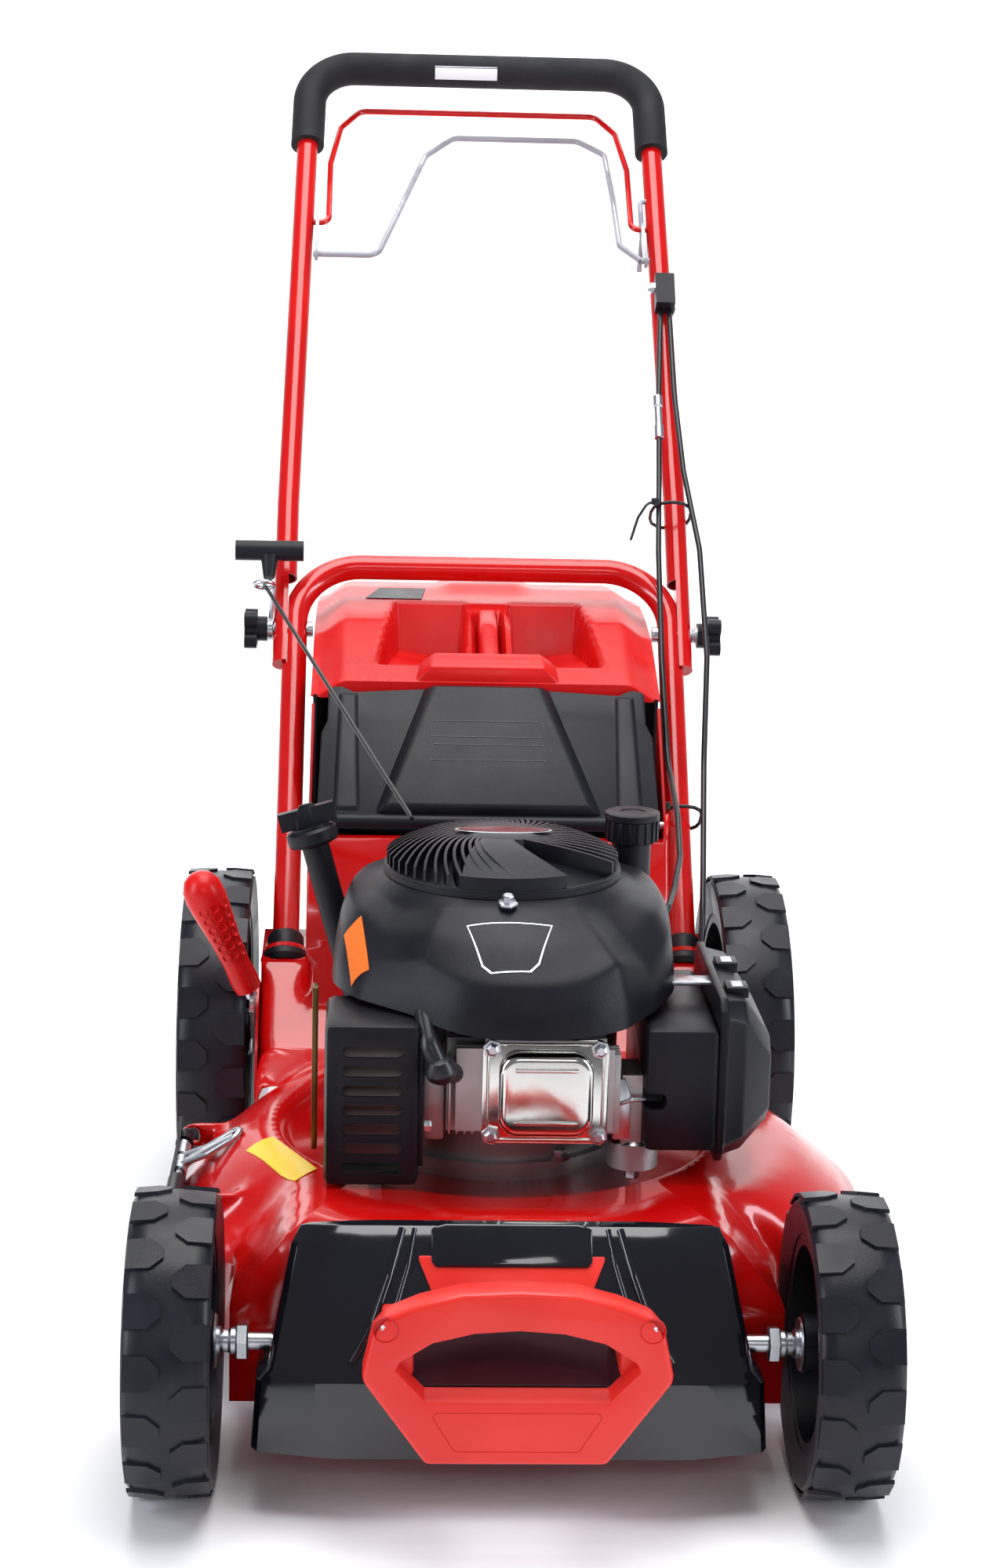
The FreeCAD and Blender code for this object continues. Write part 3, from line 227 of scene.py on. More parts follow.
finish("cast_alloy", (0.40, 0.40, 0.40), (0.58, 0.58, 0.57), (0.38, 0.55), ("noise", 1100, 0.50, 0.0004),
       metallic=0.9)
finish("pressed_chrome", (0.66, 0.64, 0.60), (0.82, 0.80, 0.75), (0.10, 0.18), ("noise", 90, 0.10, 0.0006),
       metallic=1.0)
finish("blade_steel", (0.10, 0.10, 0.11), (0.17, 0.17, 0.18), (0.35, 0.50), ("noise", 400, 0.25, 0.0003),
       metallic=0.8)
finish("iron", (0.13, 0.12, 0.12), (0.22, 0.21, 0.20), (0.45, 0.60), ("noise", 500, 0.40, 0.0004),
       metallic=0.8)
finish("cable_sheath", (0.008, 0.008, 0.010), (0.015, 0.015, 0.018), (0.28, 0.38),
       ("noise", 600, 0.15, 0.0002))
print("finishes", sorted(finishes))

# %% [markdown]
# ## Dress the solids that stay
# A good many solids already have the right shape: tubes, axles, the deck pressing, the cut
# blade. Each of them only needs its finish. The table below names the finish of every solid
# by its place on the mower; solids that we remodel later are hidden as we replace them.

# %% Give each solid its finish
USES = {
    "red_enamel": "deck_shell height_quadrant lower_handle upper_handle brake_bail rear_carriage",
    "red_plastic": "height_grip grass_box_lid",
    "orange_plastic": "front_bumper",
    "black_moulding": "side_flap engine_cowl recoil_cover fuel_tank fuel_cap oil_tube dipstick air_box air_cover "
                      "muffler_guard plug_boot pull_grip knob_left knob_right cable_bracket rear_flap grass_box_body "
                      "rim_front_left rim_front_right rim_rear_left rim_rear_right",
    "gloss_black": "front_cover",
    "tyre_rubber": "tyre_front_left tyre_front_right tyre_rear_left tyre_rear_right",
    "foam": "foam_grip",
    "zinc_steel": "front_axle height_rod drive_axle height_lever side_hinge handle_bolts rope_eye",
    "grey_wire": "drive_bail",
    "cast_alloy": "crankcase cylinder_head gearbox carburettor blade_adapter",
    "pressed_chrome": "valve_cover",
    "blade_steel": "blade blade_bolt",
    "iron": "crankshaft flywheel muffler starter_pulley",
    "cable_sheath": "control_cables starter_rope",
}


def dress(thing, material):
    thing.data.materials.clear()
    thing.data.materials.append(material)


for finish_name, members in USES.items():
    for member in members.split():
        dress(nodes[member], finishes[finish_name])
print("left undressed", sorted(set(nodes) - set(" ".join(USES.values()).split())))

# %% [markdown]
# ## Small tools for making meshes
# Most pieces below start as a list of corners and faces, written in millimetres because that
# is how the mower was designed. One helper turns such lists into an object whose place is in
# its mesh, gives it a finish and lets it ride on the right body. A second helper bakes live
# modifiers into the mesh, so every piece ends as plain geometry.

# %% From corner lists to finished pieces
MM = 0.001


def piece(name, verts, faces, material, smooth=30):
    """A mesh object from millimetre corners. smooth is the angle under which edges are soft."""
    mesh = bpy.data.meshes.new(name)
    mesh.from_pydata([tuple(c * MM for c in v) for v in verts], [], faces)
    bm = bmesh.new()
    bm.from_mesh(mesh)
    bmesh.ops.remove_doubles(bm, verts=bm.verts, dist=0.00002)
    bmesh.ops.recalc_face_normals(bm, faces=bm.faces)
    bm.to_mesh(mesh)
    bm.free()
    made = bpy.data.objects.new(name, mesh)
    bpy.context.scene.collection.objects.link(made)
    made.data.materials.append(finishes[material])
    if smooth:
        mesh.set_sharp_from_angle(angle=math.radians(smooth))
    return made


def bake(made, smooth=30):
    """Turn an object's modifiers into its plain mesh."""
    graph = bpy.context.evaluated_depsgraph_get()
    mesh = bpy.data.meshes.new_from_object(made.evaluated_get(graph))
    made.modifiers.clear()
    made.data = mesh
    mesh.shade_smooth()
    if smooth:
        mesh.set_sharp_from_angle(angle=math.radians(smooth))
    return made


def soften(made, width, steps=2, smooth=35):
    """Round every sharp edge by a width in millimetres."""
    bevel = made.modifiers.new("round", "BEVEL")
    bevel.width = width * MM
    bevel.segments = steps
    bevel.limit_method = "ANGLE"
    bevel.angle_limit = math.radians(28)
    return bake(made, smooth)


def join(name, *parts):
    """Several finished meshes as one object with all their finishes."""
    bm = bmesh.new()
    slots = []
    for part in parts:
        first = len(bm.faces)
        bm.from_mesh(part.data)
        bm.faces.ensure_lookup_table()
        for face in bm.faces[first:]:
            wanted = part.data.materials[face.material_index]
            if wanted not in slots:
                slots.append(wanted)
            face.material_index = slots.index(wanted)
    mesh = bpy.data.meshes.new(name)
    bm.to_mesh(mesh)
    bm.free()
    for part in parts:
        bpy.data.objects.remove(part)
    made = bpy.data.objects.new(name, mesh)
    bpy.context.scene.collection.objects.link(made)
    for slot in slots:
        mesh.materials.append(slot)
    return made


def lathe(name, profile, at, along, material, around=48, smooth=30):
    """Turn a profile of (radius, distance) about an axis through a point."""
    toward = Vector(along).normalized()
    side = toward.orthogonal().normalized()
    other = toward.cross(side)
    verts, faces = [], []
    for k in range(around):
        a = 2 * math.pi * k / around
        spoke = side * math.cos(a) + other * math.sin(a)
        verts += [tuple(Vector(at) + spoke * r + toward * d) for r, d in profile]
    count = len(profile)
    for k in range(around):
        for i in range(count - 1):
            a, b = k * count + i, (k + 1) % around * count + i
            faces.append((a, b, b + 1, a + 1))
    return piece(name, verts, faces, material, smooth)


def plate(name, outline, at, across, up, thick, material, edge=0.0, steps=2):
    """A flat shape of (across, up) corners, given a thickness along across x up."""
    across, up = Vector(across).normalized(), Vector(up).normalized()
    out = across.cross(up)
    count = len(outline)
    verts = [tuple(Vector(at) + across * u + up * v + out * d) for d in (0, thick) for u, v in outline]
    faces = [tuple(range(count))[::-1], tuple(range(count, 2 * count))]
    faces += [(i, (i + 1) % count, count + (i + 1) % count, count + i) for i in range(count)]
    made = piece(name, verts, faces, material, 0)
    return soften(made, edge, steps) if edge else made


def box_of(name, low, high, material, edge=1.0):
    """A block between two corners with rounded edges."""
    outline = [(low[0], low[1]), (high[0], low[1]), (high[0], high[1]), (low[0], high[1])]
    return plate(name, outline, (0, 0, low[2]), (1, 0, 0), (0, 1, 0), high[2] - low[2], material, edge)


def rounded(wide, high, radius, steps=4):
    """A rectangle about the origin with rounded corners."""
    corners = []
    for cx, cy, start in ((1, 1, 0), (-1, 1, 90), (-1, -1, 180), (1, -1, 270)):
        for k in range(steps + 1):
            a = math.radians(start + 90 * k / steps)
            corners.append((cx * (wide / 2 - radius) + radius * math.cos(a),
                            cy * (high / 2 - radius) + radius * math.sin(a)))
    return corners


def ride(made, body):
    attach(made, body)
    return made


print("tools ready")

# %% [markdown]
# ## Geometry Nodes trees for what repeats
# Tyre lugs, cooling fins, bolts and springs are one shape repeated by a rule. A Geometry
# Nodes tree states that rule once, with named inputs for its sizes, and a modifier runs it.
# We make three small trees: copies turned about an axis, a bar that follows a line of points,
# and a coil spring. Each ends in Realize Instances and Set Material.

# %% Building blocks for the trees
def new_tree(name, inputs):
    """A geometry tree with a Geometry input, the named number inputs and a Geometry output."""
    tree = bpy.data.node_groups.new(name, "GeometryNodeTree")
    tree.interface.new_socket("Geometry", in_out="INPUT", socket_type="NodeSocketGeometry")
    for label, kind, value in inputs:
        socket = tree.interface.new_socket(label, in_out="INPUT", socket_type="NodeSocket" + kind)
        if value is not None:
            socket.default_value = value
    tree.interface.new_socket("Geometry", in_out="OUTPUT", socket_type="NodeSocketGeometry")
    return tree, tree.nodes.new("NodeGroupInput"), tree.nodes.new("NodeGroupOutput")


def add(tree, kind, settings=None, **inputs):
    """A node whose sockets are values or links; an underscore in a socket name is a space."""
    made = tree.nodes.new(kind)
    for key, value in (settings or {}).items():
        setattr(made, key, value)
    for label, value in inputs.items():
        socket = made.inputs[label.replace("_", " ")] if not label.startswith("n") or not label[1:].isdigit() \
            else made.inputs[int(label[1:])]
        if isinstance(value, bpy.types.NodeSocket):
            tree.links.new(value, socket)
        else:
            socket.default_value = value
    return made


def close(tree, given, end, geometry):
    """Realize the instances, set the material and end the tree."""
    real = add(tree, "GeometryNodeRealizeInstances", Geometry=geometry)
    painted = add(tree, "GeometryNodeSetMaterial", Geometry=real.outputs["Geometry"],
                  Material=given.outputs["Material"])
    tree.links.new(painted.outputs["Geometry"], end.inputs["Geometry"])


def run(tree, made, **values):
    """Run a tree on an object as a modifier, then keep the result as a plain mesh."""
    modifier = made.modifiers.new(tree.name, "NODES")
    modifier.node_group = tree
    for item in tree.interface.items_tree:
        label = item.name.replace(" ", "_")
        if item.in_out == "INPUT" and label in values:
            modifier[item.identifier] = values[label]
    name = made.data.materials[0].name if made.data.materials else None
    graph = bpy.context.evaluated_depsgraph_get()
    mesh = bpy.data.meshes.new_from_object(made.evaluated_get(graph))
    made.modifiers.clear()
    made.data = mesh
    return made


# %% Copies turned about an axis
turns, given, end = new_tree("turned_copies", [("Count", "Int", 12), ("Sweep", "Float", 2 * math.pi),
                                               ("First", "Float", 0.0), ("Tilt", "Rotation", None),
                                               ("Centre", "Vector", None), ("Material", "Material", None)])
seeds = add(turns, "GeometryNodePoints", Count=given.outputs["Count"])
number = add(turns, "GeometryNodeInputIndex")
step = add(turns, "ShaderNodeMath", {"operation": "DIVIDE"}, n0=given.outputs["Sweep"],
           n1=given.outputs["Count"])
turn = add(turns, "ShaderNodeMath", {"operation": "MULTIPLY_ADD"}, n0=number.outputs["Index"],
           n1=step.outputs[0], n2=given.outputs["First"])
spin = add(turns, "ShaderNodeCombineXYZ", Z=turn.outputs[0])
copies = add(turns, "GeometryNodeInstanceOnPoints", Points=seeds.outputs[0],
             Instance=given.outputs["Geometry"], Rotation=spin.outputs[0])
real = add(turns, "GeometryNodeRealizeInstances", Geometry=copies.outputs[0])
placed = add(turns, "GeometryNodeTransform", Geometry=real.outputs[0], Translation=given.outputs["Centre"],
             Rotation=given.outputs["Tilt"])
close(turns, given, end, placed.outputs[0])
print("tree", turns.name, len(turns.nodes), "nodes")


def turned_copies(made, count, centre, tilt=(0, 0, 0), sweep=360.0, first=0.0):
    """Run the tree: made is modelled about the Z axis through the origin."""
    name = made.data.materials[0]
    run(turns, made, Count=count, Sweep=math.radians(sweep), First=math.radians(first),
        Centre=[c * MM for c in centre], Tilt=[math.radians(a) for a in tilt], Material=name)
    made.data.shade_smooth()
    made.data.set_sharp_from_angle(angle=math.radians(35))
    return made


# %% A round bar along a line of points
bars, given, end = new_tree("bar_along_line", [("Diameter", "Float", 0.006), ("Bend", "Float", 0.01),
                                               ("Material", "Material", None)])
path = add(bars, "GeometryNodeMeshToCurve", Mesh=given.outputs["Geometry"])
bent = add(bars, "GeometryNodeFilletCurve", Curve=path.outputs[0], Radius=given.outputs["Bend"])
for socket in bent.inputs:
    if socket.name == "Mode":
        socket.default_value = "Poly"
    if socket.name == "Count":
        socket.default_value = 6
    if socket.name == "Limit Radius":
        socket.default_value = True
if hasattr(bent, "mode"):
    bent.mode = "POLY"
half = add(bars, "ShaderNodeMath", {"operation": "MULTIPLY"}, n0=given.outputs["Diameter"], n1=0.5)
ring = add(bars, "GeometryNodeCurvePrimitiveCircle", Resolution=12, Radius=half.outputs[0])
skin = add(bars, "GeometryNodeCurveToMesh", Curve=bent.outputs[0], Profile_Curve=ring.outputs[0],
           Fill_Caps=True)
close(bars, given, end, skin.outputs[0])
print("tree", bars.name, len(bars.nodes), "nodes")


def bar(name, points, diameter, bend, material, closed=False):
    """A bent round bar or wire through millimetre points."""
    mesh = bpy.data.meshes.new(name)
    links = [(i, i + 1) for i in range(len(points) - 1)] + ([(len(points) - 1, 0)] if closed else [])
    mesh.from_pydata([tuple(c * MM for c in p) for p in points], links, [])
    made = bpy.data.objects.new(name, mesh)
    bpy.context.scene.collection.objects.link(made)
    run(bars, made, Diameter=diameter * MM, Bend=bend * MM, Material=finishes[material])
    made.data.shade_smooth()
    made.data.set_sharp_from_angle(angle=math.radians(50))
    return made


# %% A coil spring
coils, given, end = new_tree("coil_spring", [("Turns", "Float", 10.0), ("Length", "Float", 0.03),
                                             ("Radius", "Float", 0.005), ("Wire", "Float", 0.0015),
                                             ("Tilt", "Rotation", None), ("Centre", "Vector", None),
                                             ("Material", "Material", None)])
helix = add(coils, "GeometryNodeCurveSpiral", Resolution=20, Rotations=given.outputs["Turns"],
            Start_Radius=given.outputs["Radius"], End_Radius=given.outputs["Radius"],
            Height=given.outputs["Length"])
half = add(coils, "ShaderNodeMath", {"operation": "MULTIPLY"}, n0=given.outputs["Wire"], n1=0.5)
ring = add(coils, "GeometryNodeCurvePrimitiveCircle", Resolution=8, Radius=half.outputs[0])
skin = add(coils, "GeometryNodeCurveToMesh", Curve=helix.outputs[0], Profile_Curve=ring.outputs[0],
           Fill_Caps=True)
laid = add(coils, "GeometryNodeTransform", Geometry=skin.outputs[0], Translation=given.outputs["Centre"],
           Rotation=given.outputs["Tilt"])
close(coils, given, end, laid.outputs[0])
print("tree", coils.name, len(coils.nodes), "nodes")


def spring(name, turns_wanted, length, radius, wire, centre, tilt, material="zinc_steel"):
    made = bpy.data.objects.new(name, bpy.data.meshes.new(name))
    bpy.context.scene.collection.objects.link(made)
    run(coils, made, Turns=float(turns_wanted), Length=length * MM, Radius=radius * MM, Wire=wire * MM,
        Tilt=[math.radians(a) for a in tilt], Centre=[c * MM for c in centre], Material=finishes[material])
    made.data.shade_smooth()
    return made

# %% [markdown]
# ## Pressed steel deck
# The deck came from straight cones and flat cuts, so its edges are hard. A real pressing has
# none: sheet steel flows over a tool with wide radii. We take a copy of the deck's mesh, cut
# its long edges into short ones, and relax the upper part with a smooth modifier. A vertex
# group says how much each part may move, so rims, sockets and the skirt stay as they were.

# %% Relaxed copy of the deck
def split_copy(source, name, material, longest, near):
    """Copy a mesh and split its edges over a length in millimetres where near(point) is above 0."""
    bm = bmesh.new()
    bm.from_mesh(source.data)
    bmesh.ops.remove_doubles(bm, verts=bm.verts, dist=0.02 * MM)
    bmesh.ops.triangulate(bm, faces=bm.faces)
    for _ in range(6):
        long_edges = [e for e in bm.edges if e.calc_length() > longest * MM
                      and max(near(v.co / MM) for v in e.verts) > 0]
        if not long_edges:
            break
        bmesh.ops.subdivide_edges(bm, edges=long_edges, cuts=1)
        bmesh.ops.triangulate(bm, faces=[f for f in bm.faces if len(f.verts) > 3])
    mesh = bpy.data.meshes.new(name)
    bm.to_mesh(mesh)
    bm.free()
    made = bpy.data.objects.new(name, mesh)
    bpy.context.scene.collection.objects.link(made)
    dress(made, finishes[material])
    return made


def relax(made, rounds, weight):
    """Smooth a mesh as far as weight(point), from 0 to 1, lets each point move."""
    group = made.vertex_groups.new(name="relax")
    for v in made.data.vertices:
        w = weight(v.co / MM)
        if w > 0:
            group.add([v.index], w, "REPLACE")
    smooth = made.modifiers.new("relax", "SMOOTH")
    smooth.factor, smooth.iterations, smooth.vertex_group = 0.5, rounds, "relax"
    return bake(made, 50)


def upper_deck(at):
    """1 over the open top of the deck, 0 at its skirt, rims, sockets and tunnel."""
    x, y, z = at
    if z < 114 or z > 236 or y > 236 or y < -232 or abs(x) > 246:
        return 0.0
    around_engine = math.hypot(x, y)
    if around_engine < 168:
        return 0.0
    if -110 < y < 62 and x < -200 and z < 135:
        return 0.0
    return min(1.0, (z - 114) / 10, (236 - z) / 8, (y + 232) / 8, (around_engine - 168) / 10,
               (236 - y) / 12)


pressing = relax(split_copy(nodes["deck_shell"], "pressed_deck", "red_enamel", 9, upper_deck), 22,
                 upper_deck)
ride(pressing, "chassis")
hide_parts("deck_shell")
print("deck faces", len(pressing.data.polygons))

# %% [markdown]
# ## Tyres
# Each wheel wears a solid black tyre with a shallow staggered tread: flat lugs reach in from
# both shoulders, each with a clipped point, and the two rows are half a step apart. A texture
# could fake this, but the lugs show against the sky at the tyre's edge, so they are geometry:
# one lug is bent to the tyre's curve and the turning tree repeats it round the wheel.

# %% One tread lug, bent to the tyre
def lug(name, radius, half_wide, side, pitch, rise):
    """A clipped tread block from the shoulder inwards. The wheel's axis is Z here."""
    outline = [(0.5, 0.30), (0.5, -0.30), (0.22, -0.30), (0.06, -0.10), (0.06, 0.10), (0.22, 0.30)]
    shoulder = half_wide * 2 * side
    verts, faces = [], []
    for layer, shrink in ((0.0, 0.0), (1.0, 0.05)):
        for v, u in outline:
            height = v * shoulder * (1 - shrink * 0.3)
            edge = abs(v) > 0.45
            r = radius - rise * (1 - layer) - (1.2 if edge else 0.0)
            a = u * pitch * (1 - shrink) / radius
            verts.append((r * math.cos(a), r * math.sin(a), height))
    count = len(outline)
    for i in range(count):
        j = (i + 1) % count
        faces.append((i, j, count + j, count + i))
    faces.append(tuple(range(count, 2 * count)))
    return piece(name, verts, faces, "tyre_rubber", 20)


def tyre(place, radius, inner, low, high, axle, lugs):
    """A tyre between two X planes about an axle point (Y, Z)."""
    wide, middle = high - low, (high + low) / 2
    deep = 2.2
    profile = [(inner, -wide / 2 + 4), (radius - 16, -wide / 2 + 0.6), (radius - 8, -wide / 2),
               (radius - deep - 4, -wide / 2 + 1.5), (radius - deep - 1.2, -wide / 2 + 5),
               (radius - deep, -wide / 2 + 14), (radius - deep, 0), (radius - deep, wide / 2 - 14),
               (radius - deep - 1.2, wide / 2 - 5), (radius - deep - 4, wide / 2 - 1.5),
               (radius - 8, wide / 2), (radius - 16, wide / 2 - 0.6), (inner, wide / 2 - 4),
               (inner, -wide / 2 + 4)]
    body = lathe("tyre_body_" + place, profile, (middle,) + axle, (1, 0, 0), "tyre_rubber", 96, 40)
    pitch = 2 * math.pi * radius / lugs
    rows = []
    for side, first in ((1, 0.0), (-1, 180.0 / lugs)):
        block = lug("lug_%s_%d" % (place, side), radius, wide / 2 - 0.8, side, pitch, 2.6)
        rows.append(turned_copies(block, lugs, (middle,) + axle, tilt=(0, 90, 0), first=first))
    made = join("tread_tyre_" + place, body, *rows)
    ride(made, "wheel_" + place)
    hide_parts("tyre_" + place)
    return made


for place in ("front_left", "front_right", "rear_left", "rear_right"):
    low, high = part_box("tyre_" + place)
    radius = (high.z - low.z) / 2 * 1000
    axle = ((high.y + low.y) / 2 * 1000, (high.z + low.z) / 2 * 1000)
    inner = 73 if "front" in place else 106
    made = tyre(place, radius, inner, low.x * 1000, high.x * 1000, axle, 16 if "front" in place else 20)
    print(made.name, "radius", round(radius, 1), "faces", len(made.data.polygons))

# %% [markdown]
# ## Wheel hubs
# Beside each wheel the stub axle carries a large thin washer; the front ones also carry a
# collar and a hexagon nut.
# They are turned profiles, with a six-sided one for the nut, and they stand still with the
# axle while the wheel spins.

# %% Washers, collars and nuts on the stub axles
for place, body in (("front_left", "front_axle"), ("front_right", "front_axle"),
                    ("rear_left", "rear_axle"), ("rear_right", "rear_axle")):
    low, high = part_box("rim_" + place)
    side = 1 if "left" in place else -1
    inboard = (low.x if side > 0 else high.x) * 1000
    axle = ((high.y + low.y) / 2 * 1000, (high.z + low.z) / 2 * 1000)
    away = (-side, 0, 0)
    washer = lathe("washer", [(6.2, 0.4), (17, 0.4), (18, 1.2), (17, 2.4), (6.2, 2.4), (6.2, 0.4)],
                   (inboard,) + axle, away, "zinc_steel", 40)
    if "front" in place:
        collar = lathe("collar", [(6.2, 2.4), (9.5, 2.6), (9.8, 5), (7.6, 7), (7.6, 10), (9, 12), (9, 15),
                                  (6.2, 15), (6.2, 2.4)], (inboard,) + axle, away, "zinc_steel", 32)
        nut = lathe("nut", [(6.2, 15), (11.5, 15), (12.5, 16.2), (12.5, 22.4), (11.5, 23.4), (6.2, 23.4),
                            (6.2, 15)], (inboard,) + axle, away, "zinc_steel", 6, 25)
        made = join("axle_hardware_" + place, washer, collar, nut)
    else:
        made = washer
        made.name = "axle_washer_" + place
    ride(made, body)

# %% [markdown]
# ## The engine cowl
# The black cowl is one sculpted moulding: a round seat for the starter, a flat sloping nose
# with a shallow badge plate, two raised shoulders, and a skirt whose lower edge steps up over
# the exhaust and down over the valve cover. Spokes from the starter's centre describe it: each
# spoke is a list of (radius, height), and the surface between spokes is a subdivision surface,
# with creases where the real moulding has a hard line.

# %% Spokes of the cowl: angle, then (radius, height) from the seat to the skirt's lower edge
COWL_SPOKES = [
    (-90, (89, 362), (98, 358), (128, 340), (152, 318), (160, 300), (161, 282), 0.0),
    (-72, (89, 362), (98, 358), (130, 340), (157, 318), (166, 300), (168, 283), 0.0),
    (-60, (89, 362), (99, 357), (128, 343), (152, 330), (162, 306), (164, 286), 0.7),
    (-46, (89, 362), (100, 352), (122, 336), (140, 320), (150, 304), (152, 290), 0.6),
    (-28, (89, 362), (100, 355), (122, 347), (134, 332), (139, 310), (140, 292), 0.3),
    (-8, (89, 362), (100, 356), (118, 350), (124, 336), (126, 314), (126, 292), 0.2),
    (20, (89, 362), (100, 356), (122, 349), (130, 336), (133, 314), (133, 292), 0.2),
    (36, (89, 362), (100, 356), (132, 348), (143, 336), (149, 314), (150, 292), 0.4),
    (60, (89, 362), (100, 356), (132, 346), (145, 334), (150, 312), (151, 292), 0.2),
    (90, (89, 362), (100, 356), (130, 348), (142, 334), (147, 312), (147, 291), 0.0),
    (118, (89, 362), (100, 356), (136, 348), (154, 332), (160, 312), (161, 291), 0.3),
    (138, (89, 362), (100, 356), (132, 346), (144, 332), (152, 312), (153, 291), 0.3),
    (162, (89, 362), (100, 356), (114, 350), (120, 334), (124, 312), (125, 291), 0.2),
    (188, (89, 362), (100, 356), (114, 350), (120, 334), (124, 310), (125, 291), 0.2),
    (208, (89, 362), (100, 354), (118, 346), (130, 330), (137, 312), (138, 293), 0.3),
    (224, (89, 362), (100, 350), (121, 336), (134, 320), (143, 304), (146, 294), 0.6),
    (243, (89, 362), (99, 357), (120, 343), (134, 328), (143, 308), (146, 291), 0.7),
    (256, (89, 362), (98, 358), (124, 341), (148, 319), (156, 302), (158, 284), 0.0),
]


def cowl_shell(spokes, wall):
    cage = bpy.data.meshes.new("cowl_cage")
    verts, faces, creases = [], [], {}
    total, rings = len(spokes), len(spokes[0]) - 2
    for angle, *line, _ in spokes:
        a = math.radians(angle)
        verts += [(r * math.cos(a) * MM, r * math.sin(a) * MM, z * MM) for r, z in line]
    for k in range(total):
        nxt = (k + 1) % total
        for i in range(rings - 1):
            a, b = k * rings + i, nxt * rings + i
            faces.append((a, a + 1, b + 1, b))
            creases[frozenset((a, a + 1))] = spokes[k][-1] if i else 0.0
        for ring, weight in ((0, 0.9), (1, 0.75), (2, 0.35), (3, 0.45), (rings - 1, 1.0)):
            creases[frozenset((k * rings + ring, nxt * rings + ring))] = weight
    cage.from_pydata(verts, [], faces)
    store = cage.attributes.new("crease_edge", "FLOAT", "EDGE")
    for edge in cage.edges:
        store.data[edge.index].value = creases.get(frozenset(edge.vertices), 0.0)
    made = bpy.data.objects.new("sculpted_cowl", cage)
    bpy.context.scene.collection.objects.link(made)
    cage.materials.append(finishes["black_moulding"])
    rounder = made.modifiers.new("rounder", "SUBSURF")
    rounder.levels = rounder.render_levels = 3
    shell = made.modifiers.new("wall", "SOLIDIFY")
    shell.thickness = wall * MM
    shell.offset = -1
    return bake(made, 50)


cowl = cowl_shell(COWL_SPOKES, 2.4)
print("cowl faces", len(cowl.data.polygons))

# %% [markdown]
# The nose carries a badge plate: a sunken trapezium with a thin silver border, left blank.
# A small starter bolt sits above it, and a plain coloured patch sits on the left shoulder.
# The plate is dropped onto the cowl by casting rays down, so it follows the moulding.

# %% Lay flat shapes onto a surface
def drape(name, outline, target, depth, material, lift=0.35, cast=(0, 0, -1), grid=8, thick=0.5):
    """Lay a convex outline of (x, y) millimetre corners on a mesh below it, as a thin skin."""
    graph = bpy.context.evaluated_depsgraph_get()
    tree = BVHTree.FromObject(target, graph)
    down = Vector(cast)
    bm = bmesh.new()
    face = bm.faces.new([bm.verts.new((x * MM, y * MM, depth * MM)) for x, y in outline])
    for axis in (0, 1):
        spots = [v.co[axis] for v in bm.verts]
        low, high = min(spots), max(spots)
        for k in range(1, grid):
            at = [0, 0, 0]
            at[axis] = low + (high - low) * k / grid
            way = [0, 0, 0]
            way[axis] = 1
            bmesh.ops.bisect_plane(bm, geom=bm.verts[:] + bm.edges[:] + bm.faces[:], plane_co=at,
                                   plane_no=way)
    for v in bm.verts:
        hit, normal, *_ = tree.ray_cast(v.co, down)
        if hit is not None:
            v.co = hit + (normal if normal.dot(down) < 0 else -normal) * lift * MM
    bmesh.ops.recalc_face_normals(bm, faces=bm.faces)
    if sum((f.normal for f in bm.faces), Vector()).dot(down) > 0:
        bmesh.ops.reverse_faces(bm, faces=bm.faces)
    mesh = bpy.data.meshes.new(name)
    bm.to_mesh(mesh)
    bm.free()
    made = bpy.data.objects.new(name, mesh)
    bpy.context.scene.collection.objects.link(made)
    mesh.materials.append(finishes[material])
    skin = made.modifiers.new("skin", "SOLIDIFY")
    skin.thickness = thick * MM
    skin.offset = 1
    return bake(made, 40)


def grown(outline, by):
    """A convex outline moved outwards by a distance."""
    cx = sum(x for x, y in outline) / len(outline)
    cy = sum(y for x, y in outline) / len(outline)
    return [(x + by * (1 if x > cx else -1), y + by * (1 if y > cy else -1)) for x, y in outline]


finish("badge_silver", (0.60, 0.61, 0.63), (0.70, 0.71, 0.73), (0.25, 0.32), ("noise", 600, 0.1, 0.0001),
       metallic=0.8)
finish("patch_orange", (0.75, 0.13, 0.01), (0.85, 0.18, 0.02), (0.35, 0.42), ("noise", 900, 0.1, 0.0001))
finish("patch_white", (0.72, 0.72, 0.74), (0.82, 0.82, 0.84), (0.30, 0.38), ("noise", 900, 0.1, 0.0001))
finish("patch_yellow", (0.80, 0.52, 0.01), (0.90, 0.62, 0.02), (0.28, 0.35), ("noise", 900, 0.1, 0.0001))
BADGE = [(-28, -108), (30, -108), (20, -136), (14, -141), (-12, -141), (-18, -136)]
border = drape("badge_border", grown(BADGE, 0.9), cowl, 420, "badge_silver", 0.2, thick=0.3)
badge = drape("badge_face", BADGE, cowl, 420, "black_moulding", 0.45, thick=0.3)
patch = drape("shoulder_patch", [(-114, -60), (-102, -60), (-96, -98), (-108, -92)], cowl, 420,
              "patch_orange", 0.3)
bolt_head = lathe("starter_bolt", [(0, 8), (3.4, 8), (4.2, 7), (4.2, 3), (7, 2.6), (7.4, 1.4), (7, 0),
                                   (0, 0)], (0, -94, 361), (0, -0.25, 1), "zinc_steel", 6, 20)
cowl = join("sculpted_cowl", cowl, border, badge, patch, bolt_head)
ride(cowl, "chassis")
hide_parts("engine_cowl")
print("cowl with badge", len(cowl.data.polygons), "faces")

